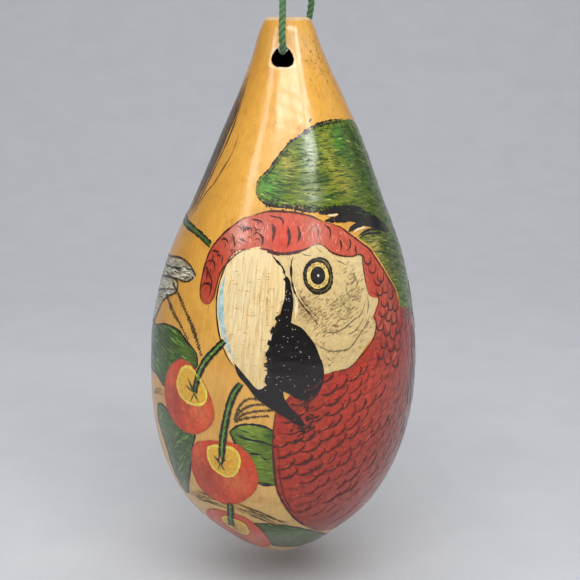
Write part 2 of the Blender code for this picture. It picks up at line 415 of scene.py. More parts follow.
class Strokes:
    """Many pen or brush strokes gathered in one piece."""

    def __init__(self, name, layer, material, seed):
        self.name, self.layer, self.material = name, layer, material
        self.random = random.Random(seed)
        self.angles, self.depths, self.faces = [], [], []

    def add(self, points, width, ends=(0.25, 0.25), rough=0.12, thin=0.15, steps=4, closed=False):
        """A stroke through (angle, depth) points, width in millimetres, tapered at its ends."""
        curve = smooth_loop(points, steps) if closed else smooth_through(points, steps)
        if closed:
            curve = curve + [curve[0]]
        line = np.array([(point.x, point.y) for point in curve])
        scale = degree_at(line[:, 1])
        flat = np.stack([line[:, 0] * scale, line[:, 1]], axis=1)
        run = np.gradient(flat, axis=0)
        if closed:
            run[0] = run[-1] = flat[1] - flat[-2]
        run /= np.maximum(np.hypot(run[:, 0], run[:, 1]), 1e-9)[:, None]
        steps_along = np.hypot(*np.diff(flat, axis=0).T)
        share = np.concatenate([[0.0], np.cumsum(steps_along)])
        share /= max(share[-1], 1e-9)
        taper = np.ones(len(line))
        if not closed:
            taper = np.minimum(taper, thin + (1.0 - thin) * share / max(ends[0], 1e-6))
            taper = np.minimum(taper, thin + (1.0 - thin) * (1.0 - share) / max(ends[1], 1e-6))
        wobble = np.array([1.0 + rough * self.random.uniform(-1.0, 1.0) for _ in line])
        half = PEN_SPREAD * width / 2.0 * taper * wobble
        first = len(self.angles)
        for side in (1.0, -1.0):
            self.angles.extend(line[:, 0] + side * half * -run[:, 1] / scale)
            self.depths.extend(line[:, 1] + side * half * run[:, 0])
        for left in range(first, first + len(line) - 1):
            right = left + len(line)
            self.faces.append((left, left + 1, right + 1, right))

    def finish(self):
        angle, depth = np.array(self.angles), np.clip(np.array(self.depths), STROKE_TOP, STROKE_BASE)
        data = mesh_of(self.name, skin(angle, depth, self.layer * FILM).tolist(), self.faces, self.material)
        mesh = bmesh.new()
        mesh.from_mesh(data)
        for face in mesh.faces:
            face.normal_update()
            if face.normal.dot(face.calc_center_median() - GOURD_MIDDLE) < 0.0:
                face.normal_flip()
        mesh.to_mesh(data)
        mesh.free()
        data.shade_smooth()
        set_place(data, angle, depth)
        new_object(self.name, data, GOURD)


def shifted(line, across, down):
    return [(angle + across, depth + down) for angle, depth in line]


def placed(glyph, angle, depth, size, turn):
    """A small drawing in millimetres, turned and put on the gourd."""
    scale = degree_at(depth)
    sin, cos = math.sin(turn), math.cos(turn)
    points = []
    for x, y in glyph:
        across, down = x * cos - y * sin, x * sin + y * cos
        points.append((angle + size * across / scale, depth + size * down))
    return points


def oval(center, wide, tall, count=28):
    """An oval outline, wide in degrees and tall in millimetres from its centre."""
    turns = [2.0 * math.pi * index / count for index in range(count)]
    return [(center[0] + wide * math.cos(turn), center[1] + tall * math.sin(turn)) for turn in turns]


def as_pairs(points):
    return [(point.x, point.y) for point in points]


def inside(outline, angle, depth):
    """Whether a point lies inside a closed outline."""
    within = False
    for (ax, ay), (bx, by) in zip(outline, outline[1:] + outline[:1]):
        if (ay > depth) != (by > depth) and angle < (bx - ax) * (depth - ay) / (by - ay) + ax:
            within = not within
    return within


def fits(shape, line):
    """Whether every point of a line lies inside a closed outline."""
    return all(inside(shape, angle, depth) for angle, depth in line)


def spread(chance, low, high):
    return low + (high - low) * chance.random()


def somewhere(chance, shape):
    """A spot in the box around an outline."""
    low, high = np.min(shape, axis=0), np.max(shape, axis=0)
    return spread(chance, low[0], high[0]), spread(chance, low[1], high[1])


def picked(chance, choice):
    """A number between two limits, or the number itself."""
    return spread(chance, *choice) if isinstance(choice, tuple) else choice


def dash(strokes, chance, spot, across, down, width, **style):
    """A short stroke from a spot. Its run and width are numbers, or limits to pick between."""
    end = (spot[0] + picked(chance, across), spot[1] + picked(chance, down))
    strokes.add([spot, end], picked(chance, width), **style)


def draw(name, layer, material, width, *lines, **style):
    """One piece that holds several lines of the same width."""
    strokes = Strokes(name, layer, material, seed=len(name))
    for line in lines:
        strokes.add(line, width, **style)
    strokes.finish()


# ---------------------------------------------------------------- bare skin of the gourd

SKIN = (0.72, 0.365, 0.058)
SKIN_HIGHLIGHT = (0.78, 0.44, 0.13)
SKIN_DEEP = (0.52, 0.24, 0.03)
SKIN_PALE = (0.66, 0.44, 0.17)
NECK_HIGHLIGHT_PALE = (0.80, 0.62, 0.36)
BLACK = (0.011, 0.008, 0.008)

skin_tone = washes(
    SKIN,
    # Darker toward both sides and round the back: painted shade where the gourd turns away from the light.
    (-90.0, 60.0, 34.0, 90.0, SKIN_DEEP, 0.85),
    (90.0, 30.0, 30.0, 60.0, SKIN_DEEP, 0.6),
    (180.0, 70.0, 60.0, 90.0, SKIN_DEEP, 0.4),
    (-180.0, 70.0, 60.0, 90.0, SKIN_DEEP, 0.4),
    # Paler over the lower belly: a painted reflection of the pale floor.
    (0.0, 112.0, 120.0, 24.0, SKIN_PALE, 0.8),
    (-40.0, 84.0, 30.0, 22.0, (0.62, 0.34, 0.09), 0.6),
    # Lighter below the hole: a painted highlight where the lacquer catches the windows.
    (-8.0, 26.0, 14.0, 14.0, SKIN_HIGHLIGHT, 0.8),
    (-56.0, 10.0, 26.0, 12.0, SKIN_DEEP, 0.7),
    (-60.0, 46.0, 16.0, 14.0, SKIN_DEEP, 0.5),
    # A pale band under the sawn top: a painted reflection of the window on the neck.
    (10.0, 6.0, 40.0, 4.0, NECK_HIGHLIGHT_PALE, 0.25),
)


def skin_material():
    nodes = Nodes("gourd_skin")
    place = nodes.attribute("place", "Vector")
    color = nodes.attribute("tone")
    broad = nodes.noise(place, (0.16, 0.035, 1.0), detail=4.0, roughness=0.6)
    color = nodes.mixed(color, rgba((0.50, 0.22, 0.03)), nodes.ranged(broad, 0.5, 0.75, 0.0, 0.55))
    fibre = nodes.noise(place, (1.5, 0.10, 1.0), detail=6.0, roughness=0.7)
    color = nodes.shaded(color, nodes.ranged(fibre, 0.3, 0.7, 0.86, 1.1))
    stain = nodes.noise(place, (0.5, 0.22, 1.0), detail=6.0, roughness=0.75, distortion=0.6)
    color = nodes.mixed(color, rgba((0.30, 0.12, 0.02)), nodes.ranged(stain, 0.56, 0.78, 0.0, 0.7))
    speck = nodes.noise(place, (2.6, 2.2, 1.0), detail=3.0, roughness=0.7)
    color = nodes.mixed(color, rgba((0.22, 0.09, 0.02)), nodes.ranged(speck, 0.7, 0.78, 0.0, 0.6))
    nodes.bump(fibre, 0.25, 0.0001)
    return nodes.close(color, nodes.ranged(stain, 0.3, 0.7, 0.34, 0.44), COAT, COAT_ROUGHNESS)


def raw_wood_material():
    """Sawn and drilled gourd: pale and worn at the outside, painted near-black as shade deeper in the cuts
    and the hollow, fibrous throughout.
    """
    nodes = Nodes("sawn_gourd")
    place = nodes.attribute("place", "Vector")
    grain = nodes.noise(place, (3.0, 3.0, 3.0), detail=6.0, roughness=0.75)
    pale = nodes.mixed(rgba((0.42, 0.24, 0.09)), rgba((0.80, 0.60, 0.36)), nodes.ranged(grain, 0.35, 0.65))
    worn = nodes.node("ShaderNodeSeparateXYZ", Vector=nodes.attribute("wear_and_shade", "Vector")).outputs["X"]
    # Deeper into a cut the raw wood turns near-black: painted shade in the hole and the hollow.
    color = nodes.mixed(rgba((0.035, 0.016, 0.007)), pale, nodes.ranged(worn, 0.0, 1.0))
    nodes.bump(grain, 0.5, 0.00025)
    return nodes.close(color, nodes.ranged(grain, 0.3, 0.7, 0.6, 0.8))


def shell_wall(depths, inset):
    """Rings of the outer or inner wall."""
    turns = np.linspace(0.0, 360.0, SEGMENTS, endpoint=False) - 180.0
    angle, depth = np.meshgrid(turns, depths)
    return skin(angle.ravel(), depth.ravel(), -inset)


def ring_faces(start, count, inward):
    """Quads between the rings of a wall."""
    faces = []
    for upper in range(start, start + (count - 1) * SEGMENTS, SEGMENTS):
        lower = upper + SEGMENTS
        for index in range(SEGMENTS):
            follow = (index + 1) % SEGMENTS
            faces.append((upper + index, lower + index, lower + follow, upper + follow))
    return [face[::-1] for face in faces] if inward else faces


def fan_faces(start, pole, inward):
    """Triangles that close a ring with one point."""
    faces = [(start + index, start + (index + 1) % SEGMENTS, pole) for index in range(SEGMENTS)]
    return [face[::-1] for face in faces] if inward else faces


def build_shell():
    """The outer skin and the wall of the hollow, each closed at both ends."""
    outer = DEPTHS[:-1]
    outer_points = shell_wall(outer, 0.0)
    inner = DEPTHS[(DEPTHS > CAVITY_CEILING) & (DEPTHS < CAVITY_FLOOR)][::3]
    inner_points = shell_wall(inner, WALL)
    middle = outer_points[:SEGMENTS, 0].mean()
    tip = skin([0.0], [GOURD_DEPTH - 0.01])
    top = [[middle, 0.0, NECK_TOP]]
    ceiling = [[middle, 0.0, NECK_TOP - CAVITY_CEILING * MM]]
    well = [[tip[0, 0], 0.0, NECK_TOP - (GOURD_DEPTH - WALL) * MM]]
    points = np.concatenate([outer_points, inner_points, top, tip, ceiling, well])
    first_inner = len(outer_points)
    top_point = first_inner + len(inner_points)
    faces = ring_faces(0, len(outer), False) + ring_faces(first_inner, len(inner), True)
    faces += fan_faces(0, top_point, False) + fan_faces(first_inner - SEGMENTS, top_point + 1, True)
    faces += fan_faces(first_inner, top_point + 2, True)
    faces += fan_faces(top_point - SEGMENTS, top_point + 3, False)
    data = mesh_of("gourd_body", points.tolist(), faces, skin_material(), raw_wood_material())
    shell = new_object("gourd_body", data, GOURD)
    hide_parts("gourd_shell")
    return shell


def prism(name, ring, start, end, material):
    """A closed prism along Y through a ring of (across, up) points, all in millimetres."""
    mesh = bmesh.new()
    ends = []
    for y in (start, end):
        ends.append([mesh.verts.new(Vector((x * MM, y * MM, NECK_TOP + z * MM))) for x, z in ring])
    mesh.faces.new(ends[0])
    mesh.faces.new(ends[1][::-1])
    for index in range(len(ring)):
        follow = (index + 1) % len(ring)
        mesh.faces.new((ends[0][follow], ends[0][index], ends[1][index], ends[1][follow]))
    bmesh.ops.recalc_face_normals(mesh, faces=mesh.faces[:])
    return linked(name, mesh_from(name, mesh, material))


WHOLE_HOLE = HOLE_OUTLINE + [(-x, z) for x, z in HOLE_OUTLINE[-2:0:-1]]


def front_hole_ring():
    """The drop-shaped hole as (across, up from the neck top) points."""
    return [(p.x, p.y - HOLE_DEPTH) for p in smooth_loop(WHOLE_HOLE, 4)]


def rear_hole_ring():
    turns = np.linspace(0.0, 2.0 * math.pi, 32, endpoint=False)
    return [(REAR_HOLE_RADIUS * math.cos(t), REAR_HOLE_RADIUS * math.sin(t) - CORD_DEPTH) for t in turns]


def cut_hole(piece, cutter):
    modifier = piece.modifiers.new("hole", "BOOLEAN")
    modifier.object = cutter
    modifier.operation = "DIFFERENCE"
    modifier.solver = "EXACT"
    modifier.material_mode = "TRANSFER"
    bpy.context.view_layer.update()
    evaluated = piece.evaluated_get(bpy.context.evaluated_depsgraph_get())
    data = bpy.data.meshes.new_from_object(evaluated)
    piece.modifiers.clear()
    piece.data = data
    bpy.data.objects.remove(cutter)


WEAR_SHADE_REACH = 0.9                            # how deep the pale wear goes into a cut before the painted shade inside, in millimetres
SAWN_DEPTH = 0.5                            # faces above this depth show raw wood
BARE_INSET = 0.6                            # so do faces this far inside the skin


def finish_shell(shell):
    """Sawn faces, smooth shading, and the colour, place, wear and painted shade of every vertex."""
    data = shell.data
    flat = np.array([tuple(v.co) for v in data.vertices]) / MM
    depth = NECK_TOP / MM - flat[:, 2]
    across = flat[:, 0] - drift_at(depth)
    away = np.hypot(across, flat[:, 1])
    angle = np.degrees(np.arctan2(across, -flat[:, 1]))
    set_place(data, angle, depth, away)
    set_tone(data, skin_tone(angle, depth))
    wear_and_shade = np.clip(1.0 - (radius_at(depth) - away) / WEAR_SHADE_REACH, 0.0, 1.0)
    wear_and_shade[depth < 0.1] = 1.0
    set_vectors(data, "wear_and_shade", wear_and_shade, wear_and_shade, wear_and_shade)
    for face in data.polygons:
        middle = face.center / MM
        below = NECK_TOP / MM - middle.z
        off = math.hypot(middle.x - drift_at(below), middle.y)
        if below < SAWN_DEPTH or off < radius_at(below) - BARE_INSET:
            face.material_index = 1
    smooth(data, 35.0)


CUTTER_REACH = 14.0                         # from the middle of the neck to well outside it
RIM_GROWTH = 1.08                           # how much wider the worn rim runs than the hole


def draw_worn_rim():
    """The pale, worn edge around the front hole and along the sawn top."""
    worn = ink_material("worn_edge", (0.68, 0.46, 0.21), variation=0.15)
    rim = Strokes("hole_rim", 1, worn, 3)
    outline = []
    for across, up in WHOLE_HOLE:
        depth = HOLE_DEPTH - RIM_GROWTH * up
        offset = RIM_GROWTH * across - drift_at(depth)
        outline.append((math.degrees(math.asin(offset / radius_at(depth))), depth))
    rim.add(outline, 0.4, rough=0.35, closed=True)
    rim.finish()
    top = Strokes("top_rim", 1, worn, 4)
    top.add([(turn, 0.35) for turn in range(-180, 180, 20)], 0.5, rough=0.5, closed=True)
    top.finish()


def build_gourd():
    shell = build_shell()
    raw = shell.data.materials[1]
    cut_hole(shell, prism("front_cutter", front_hole_ring(), -CUTTER_REACH, 0.0, raw))
    cut_hole(shell, prism("rear_cutter", rear_hole_ring(), 0.0, CUTTER_REACH, raw))
    finish_shell(shell)
    draw_worn_rim()


# ---------------------------------------------------------------- paint colours

RED_DEEP = (0.44, 0.045, 0.018)
RED_DARK = (0.25, 0.024, 0.012)
RED_DUSKY = (0.28, 0.09, 0.07)
RED_PINK = (0.52, 0.17, 0.12)
MAROON = (0.13, 0.05, 0.045)
CREAM_LIGHT = (0.84, 0.72, 0.46)
FACE_GREY = (0.42, 0.34, 0.19)
GREEN_DARK = (0.05, 0.10, 0.015)
GREEN_BRIGHT = (0.13, 0.21, 0.016)
LEAF = (0.05, 0.105, 0.010)
LEAF_DUSKY = (0.085, 0.145, 0.045)
FRUIT = (0.67, 0.062, 0.014)
FRUIT_DARK = (0.36, 0.04, 0.02)
YELLOW = (0.76, 0.42, 0.04)
OCHRE = (0.42, 0.25, 0.06)
BROWN = (0.10, 0.05, 0.018)
BROWN_SOFT = (0.24, 0.11, 0.03)
GREY_INK = (0.16, 0.13, 0.07)
WHITE = (0.80, 0.78, 0.70)

# ---------------------------------------------------------------- outlines, as (angle, depth)

BEAK = (
    [(-20.5, 48), (-26.5, 49), (-29.5, 53), (-30.5, 56.5), (-29.8, 60.5), (-27.5, 65), (-25, 68),
     (-21.5, 71), (-18, 73), (-13.5, 75), (-9.5, 77), (-6, 76)],
    [(-6, 76), (-6, 74), (-6.5, 70), (-5, 66.5), (-2.5, 61), (0.5, 57), (1.0, 54.5), (0.5, 52.6),
     (-1.5, 51.0), (-4.2, 49.8), (-6.0, 48.2), (-4.5, 47.6), (-12, 47.2), (-20.5, 48)],
)
MOUTH = (
    [(-1, 53.7), (0.6, 53.0)],
    [(0.6, 53.0), (2.1, 54), (2.7, 55.4), (3.6, 57.4), (3.8, 59), (3.4, 60.8), (3.0, 62.6)],
    [(3.0, 62.6), (7.5, 63.8), (10.5, 65.6), (13, 67.5), (14.8, 70), (16.2, 72), (16.5, 74.6), (15.2, 77),
     (13, 79), (10, 79.6), (6, 79), (3, 78), (0.2, 77.2)],
    [(0.2, 77.2), (1, 79), (4, 81.3), (7.5, 83.4), (9.5, 85)],
    [(9.5, 85), (6.5, 85), (1, 83), (-5, 81), (-10, 79), (-14, 76.4), (-18, 74), (-19.6, 71.6)],
    [(-19.6, 71.6), (-17, 73), (-13.5, 75), (-9.5, 77), (-6, 76)],
    [(-6, 76), (-6, 72), (-6, 69), (-5, 66.5), (-4.0, 64), (-2.6, 62.2), (-1.5, 60.6), (-0.8, 59), (0, 57.4),
     (0, 55.4), (-0.1, 54.2), (-1, 53.7)],
)
CROWN = (
    [(-40.5, 57), (-40.6, 52), (-40, 49), (-37.5, 47), (-34, 45), (-30, 43.5), (-25.5, 42), (-17.5, 41),
     (-9.5, 40), (0.5, 40.3), (10, 41), (21.5, 42.8), (29.3, 43.9), (33, 45.1), (36.4, 46.2), (42, 48.1),
     (45.7, 49.4), (48.3, 51.4), (51.5, 53.8), (54.7, 56.4), (58, 58.7), (59.6, 60.8)],
    [(59.6, 60.8), (60.6, 63.0), (58.4, 65.6), (56.4, 64.2), (54.4, 67.0), (51.8, 65.2), (49.4, 67.6),
     (47.2, 65.4), (44.6, 67.0), (42.2, 65.0), (40.5, 63.3)],
    [(40.5, 63.3), (43.2, 61.4), (45, 59.8), (42.4, 59.2), (39.7, 58.4), (39.0, 57), (38.8, 55.4),
     (38.8, 53.2), (38.9, 51.4), (39.7, 50.2)],
    [(39.7, 50.2), (36.4, 49.7), (33.8, 49.9), (29.8, 49.7), (26, 49.3), (22, 48.5), (19.8, 47.6),
     (17.5, 46.9), (14, 46.8), (9, 47.7), (0.5, 48.4), (-4.5, 48.4), (-9, 48.2), (-13, 47.8), (-17.5, 47.8),
     (-21.5, 48.3), (-25.5, 49.6), (-29, 51.5), (-31, 53.6), (-31.6, 56), (-32.2, 58.6), (-34.4, 60.0),
     (-38.5, 59.2), (-40.5, 57)],
)
FACE_PATCH = (
    [(-9.0, 46.5), (12, 45.5), (24, 47.0), (36, 48.6), (42, 50), (41, 54), (42, 57.4), (45.4, 59.8),
     (44, 61.6), (41.4, 63.4), (42.4, 64.6)],
    [(42.4, 64.6), (41, 67), (36, 69), (32.5, 71), (27.5, 73.2), (22, 73.6), (17, 74)],
    [(17, 74), (10, 72), (2, 66), (1, 60), (-3, 54), (-9.0, 46.5)],
)
PLUMAGE = (
    [(-2.5, 82), (-3.2, 88.5), (-2.2, 95), (-1, 100.5), (2.5, 105), (8.5, 109.5), (17.5, 113), (31, 116.5),
     (52, 118), (75, 116), (95, 110)],
    [(95, 110), (102, 98), (99, 84), (88, 72), (76, 66), (61, 63), (48, 60), (43, 62), (41.5, 64.5)],
    [(41.5, 64.5), (40.6, 67.2), (36.4, 69.4), (32.5, 71), (27.5, 72.8), (22, 73.2), (16, 73.6), (9, 75),
     (4, 77.6), (1.2, 79.4), (-2.5, 82)],
)
WING = (
    [(-20.5, 36), (-20, 34), (-14.5, 32), (-10, 30), (-6, 28), (0, 26), (7, 25), (14.5, 23.5), (25.5, 22.5),
     (38, 22), (54, 22), (69.5, 22.2), (89, 24), (108, 29), (122, 38)],
    [(122, 38), (124, 48), (116, 58), (100, 66), (84, 69), (70, 68), (61.4, 66)],
    [(61.4, 66), (61.4, 60.5), (59.4, 58.2), (56.2, 55.8), (53, 53.2), (50, 50.8), (47.3, 48.8), (43.5, 47.5),
     (41.0, 46.4), (46, 45.4), (52, 45.2)],
    [(52, 45.2), (44, 42.4), (38, 41.2), (31, 40)],
    [(31, 40), (25, 39.9), (20, 40.1), (13, 40), (6.5, 39.2), (-0.5, 39), (-8.5, 39), (-15, 38), (-19, 37),
     (-20.5, 36)],
)
LEAF_LEFT = (
    [(-102, 74), (-90, 70), (-72, 68.6), (-61.5, 67), (-50, 67), (-43, 69), (-37.5, 71), (-36.5, 73.5)],
    [(-36.5, 73.5), (-44, 78), (-57.5, 81), (-67.5, 79.5), (-82, 80), (-102, 74)],
)
LEAF_RIGHT = (
    [(-21, 87.2), (-17, 85.5), (-11.5, 85), (-6, 85.5), (-2.6, 86.5)],
    [(-2.6, 86.5), (-2.6, 93), (-1.6, 99.6)],
    [(-1.6, 99.6), (-8.5, 99.4), (-11, 96), (-16, 92.4), (-21, 87.2)],
)
LEAF_LOW = (
    [(-47, 89.8), (-56, 86.4), (-66, 86.8), (-67, 91), (-62, 97), (-61.5, 104), (-58.5, 108), (-53.5, 107.4)],
    [(-53.5, 107.4), (-46, 101.5), (-42, 97), (-39.5, 92.5), (-38, 89.5), (-47, 89.8)],
)
LEAF_BOTTOM = (
    [(-13, 111.5), (-4.5, 111.6), (4, 112), (14, 113.6), (34, 118), (60, 122.5)],
    [(60, 122.5), (30, 123.5), (5, 122.6), (-7.5, 121), (-11.5, 116), (-13, 111.5)],
)
FRUIT_UPPER = [
    (-44, 73.2), (-39, 74), (-34, 76.6), (-30.6, 79.4), (-28.6, 82), (-28, 84.2), (-30, 86.6), (-35.5, 89),
    (-42, 89.8), (-48, 89), (-53, 87.4), (-56.5, 85), (-57.5, 81.8), (-56.4, 78.6), (-52, 75.2),
    (-47.5, 73.5),
]
YELLOW_UPPER = [
    (-44.5, 75), (-41, 74.2), (-37, 75.4), (-33.4, 77.4), (-31.6, 79.6), (-32.4, 81.4), (-36, 82.4),
    (-41.5, 82.4), (-46, 81.2), (-47.8, 79), (-46.6, 76.6),
]
FRUIT_MIDDLE = [
    (-38.6, 92.4), (-41.4, 96.6), (-42, 100.6), (-39.6, 103.8), (-34, 105.6), (-27, 106.4), (-20, 105.6),
    (-14, 103.4), (-10.4, 100.8), (-9.2, 97.6), (-11, 94), (-14.8, 91), (-19.6, 89.8), (-26, 90),
    (-33, 90.6),
]
YELLOW_MIDDLE = [
    (-31.5, 93), (-30.4, 96.2), (-26, 98), (-21, 98.2), (-17.6, 96), (-16.8, 93), (-19.4, 91.2), (-25, 91),
    (-30, 91.6),
]
FRUIT_BOTTOM = [
    (-47, 113), (-40, 110.2), (-30, 109.2), (-20, 109.6), (-13, 112), (-9, 116), (-8, 121), (-20, 123.6),
    (-36, 123), (-48, 118),
]
YELLOW_BOTTOM = [(-33, 112), (-30, 115.6), (-25, 117), (-20, 115.6), (-19, 112.8), (-25, 111.2)]
TWIG = [(-222, 66), (-196, 58), (-170, 52), (-142, 48), (-112, 45.4), (-86, 45), (-74, 45.3), (-60, 45.8),
        (-50, 46.6), (-41.4, 47.9)]
BACK_STEMS = (
    [(-128, 46.8), (-131, 56), (-136, 64), (-137, 71)],
    [(-160, 50.4), (-163, 62), (-170, 74), (-171, 84)],
    [(-188, 56), (-196, 66), (-206, 74), (-208, 81)],
)
LEAF_GLYPH = [(0, 0), (3.4, -2.6), (8.0, -3.7), (13.0, -2.8), (17.5, 0), (13.0, 2.6), (8.0, 3.5), (3.4, 2.4)]
BACK_LEAVES = (
    (-112, 45.4, 1.0, -2.3), (-142, 48, 1.15, 2.2), (-150, 49, 1.0, -2.2), (-175, 53, 1.1, -2.0),
    (-178, 54, 1.2, 2.1),
    (-205, 61, 1.1, -2.2), (-222, 66, 1.3, 2.6), (-137, 74, 1.0, 2.5), (-171, 87, 1.1, 0.7),
    (-208, 84, 1.0, 2.3),
)
WING_FEATHER = [(0, 0), (6, -2.6), (16, -3.2), (27, -2.2), (34, 0.6), (27, 2.4), (16, 2.8), (6, 2.2)]
WING_FEATHERS = ((84, 60, 0.9, 1.05), (96, 54, 1.0, 1.15), (108, 47, 1.05, 1.25), (118, 38, 1.1, 1.3))
RED_FEATHERS = (
    (80, 66, 0.42, 0.75), (88, 70, 0.46, 0.8), (93, 76, 0.46, 0.9), (96, 82, 0.46, 1.0), (98, 88, 0.46, 1.1),
    (98, 94, 0.44, 1.25), (96, 100, 0.42, 1.4), (92, 105, 0.38, 1.6),
)
STEM_UPPER = [(-24.6, 67.2), (-28.6, 69.6), (-32.4, 72), (-35.4, 75), (-37.6, 79.6)]
STEM_MIDDLE = [(-16.6, 76), (-19.5, 78.5), (-21.6, 82), (-23, 86), (-24, 89.6), (-24.8, 93.4), (-25.8, 95.4)]
STEM_BOTTOM = [(-24, 106), (-25.2, 108.6), (-27.4, 111.6), (-29, 114)]
CLAW_BODY = (
    [(31, 39.4), (37.5, 39.6), (43.5, 39.9), (47, 40.4), (51.5, 41.5), (57.5, 42.5), (62, 43.7), (67, 45),
     (71, 47.2)],
    [(71, 47.2), (62, 46.4), (53, 45.0), (46.5, 44.3), (41, 43.4), (36, 42.9), (31, 42.9), (29, 41.4),
     (31, 39.4)],
)
EYE = (14.7, 53.15)


# ---------------------------------------------------------------- the bird

CROWN_TONE = washes(
    (0.60, 0.10, 0.055),
    (-1.5, 45.5, 9.0, 3.6, (0.68, 0.05, 0.018), 0.95),
    (-36.0, 54.0, 7.0, 9.0, RED_DEEP, 0.8),
    # Pale pink patches over the top of the crown, left and right of the middle: painted highlights where the
    # lacquer catches the windows.
    (-26.0, 44.5, 6.5, 3.0, (0.60, 0.27, 0.20), 0.85),
    (-13.0, 44.5, 4.0, 3.0, RED_PINK, 0.6),
    (16.0, 44.0, 6.0, 4.0, RED_PINK, 0.5),
    (45.0, 56.0, 5.0, 7.0, (0.52, 0.04, 0.015), 0.9),
    (58.0, 58.0, 6.0, 8.0, RED_DARK, 0.8),
)
PLUMAGE_TONE = washes(
    (0.44, 0.030, 0.012),
    (12.0, 88.0, 12.0, 12.0, (0.50, 0.05, 0.022), 0.55),
    (38.0, 79.0, 16.0, 10.0, (0.60, 0.05, 0.02), 0.8),
    # Greyed towards the bottom, and greyed and purpled towards the right side: painted reflection of the
    # surroundings in the lacquer.
    (30.0, 106.0, 26.0, 8.0, (0.40, 0.075, 0.055), 0.7),
    (58.0, 92.0, 16.0, 16.0, RED_DUSKY, 0.75),
    (84.0, 92.0, 18.0, 26.0, MAROON, 0.9),
    (24.0, 114.0, 26.0, 5.0, RED_DARK, 0.75),
    (5.0, 80.0, 10.0, 4.0, RED_DARK, 0.6),
    (48.0, 66.0, 8.0, 7.0, (0.46, 0.05, 0.024), 0.9),
    (64.0, 64.0, 6.0, 7.0, RED_DARK, 0.8),
)
FACE_TONE = washes(
    (0.72, 0.52, 0.23),
    (8.0, 51.0, 6.0, 4.0, (0.72, 0.54, 0.26), 0.6),
    (35.0, 51.0, 7.0, 5.0, (0.78, 0.60, 0.30), 0.8),
    (27.0, 59.5, 7.0, 3.0, (0.56, 0.45, 0.20), 0.5),
    (9.0, 60.5, 5.0, 3.5, (0.50, 0.36, 0.14), 0.7),
    (22.0, 70.5, 12.0, 3.0, (0.60, 0.44, 0.18), 0.5),
    (40.0, 61.0, 4.0, 3.0, (0.76, 0.56, 0.26), 0.6),
)
BEAK_TONE = washes(
    (0.86, 0.65, 0.33),
    (-20.0, 56.0, 7.0, 10.0, (0.82, 0.68, 0.40), 0.6),
    (-5.0, 57.0, 3.0, 9.0, (0.78, 0.54, 0.22), 0.6),
    (-10.0, 74.0, 9.0, 3.5, (0.70, 0.50, 0.20), 0.6),
)
WING_TONE = washes(
    (0.15, 0.22, 0.008),
    # A pale grey-green patch at the top of the wing: a painted reflection of the right window in the lacquer.
    (13.0, 29.0, 4.5, 5.0, (0.50, 0.56, 0.36), 0.95),
    (15.0, 36.5, 8.0, 2.6, (0.36, 0.40, 0.19), 0.8),
    (29.0, 29.0, 7.0, 6.0, (0.42, 0.40, 0.06), 0.85),
    (-2.0, 30.5, 5.0, 2.6, (0.52, 0.42, 0.07), 0.8),
    (-12.0, 35.0, 7.0, 3.0, (0.11, 0.38, 0.06), 0.85),
    (38.0, 34.5, 9.0, 3.0, (0.46, 0.38, 0.05), 0.8),
    (42.0, 26.0, 7.0, 3.4, (0.06, 0.27, 0.02), 0.9),
    (22.0, 33.6, 7.0, 1.2, (0.03, 0.08, 0.05), 0.7),
    (60.0, 30.0, 14.0, 10.0, (0.03, 0.085, 0.015), 0.85),
    (50.0, 48.6, 6.0, 2.6, (0.62, 0.46, 0.09), 0.95),
    (62.0, 50.0, 9.0, 8.0, (0.09, 0.09, 0.02), 0.85),
    (58.0, 55.0, 5.0, 3.0, (0.30, 0.24, 0.06), 0.6),
    (100.0, 48.0, 26.0, 20.0, (0.02, 0.055, 0.05), 0.8),
)
RED_PAINT = paint_material("red_paint", streaks=(0.9, 0.5), depth=0.35,
                           touches=[(RED_PINK, (0.5, 0.7), 0.56, 0.75, 0.5),
                                    (RED_DARK, (0.9, 0.8), 0.58, 0.72, 0.6)])
PLUMAGE_PAINT = paint_material("plumage_paint", streaks=(0.9, 0.9), depth=0.45,
                               touches=[((0.62, 0.09, 0.04), (0.8, 0.8), 0.54, 0.7, 0.45),
                                        ((0.16, 0.012, 0.006), (0.7, 0.6), 0.52, 0.68, 0.8)])
BEAK_PAINT = paint_material("beak_paint", streaks=(2.4, 0.12), depth=0.3,
                            touches=[(CREAM_LIGHT, (1.2, 0.2), 0.5, 0.66, 0.6),
                                     ((0.60, 0.36, 0.10), (2.6, 0.16), 0.56, 0.7, 0.6)])
FACE_PAINT = paint_material("face_paint", streaks=(0.8, 0.8), depth=0.2,
                            touches=[(FACE_GREY, (0.9, 0.9), 0.54, 0.72, 0.6),
                                     (CREAM_LIGHT, (1.1, 1.1), 0.55, 0.7, 0.4)])
WING_PAINT = paint_material("wing_paint", streaks=(0.25, 1.6), depth=0.6,
                            touches=[(GREEN_BRIGHT, (0.3, 1.3), 0.52, 0.66, 0.7),
                                     (GREEN_DARK, (0.35, 1.1), 0.52, 0.66, 0.8)])
BLACK_PAINT = paint_material("black_paint", streaks=(0.5, 0.5), depth=0.2, roughness=0.3,
                             touches=[(WHITE, (3.2, 3.2), 0.73, 0.76, 0.8)])


def paint_bird():
    for name, outline, layer, tone, paint in (
        ("wing", WING, 1, WING_TONE, WING_PAINT),
        ("plumage", PLUMAGE, 2, PLUMAGE_TONE, PLUMAGE_PAINT),
        ("face", FACE_PATCH, 3, FACE_TONE, FACE_PAINT),
        ("crown", CROWN, 4, CROWN_TONE, RED_PAINT),
        ("beak", BEAK, 4, BEAK_TONE, BEAK_PAINT),
        ("mouth", MOUTH, 6, washes(BLACK), BLACK_PAINT),
        ("claws", CLAW_BODY, 3, washes(BLACK), BLACK_PAINT),
    ):
        film(name, smooth_runs(*outline), layer, tone, paint)


# ---------------------------------------------------------------- fruit, leaves and stems

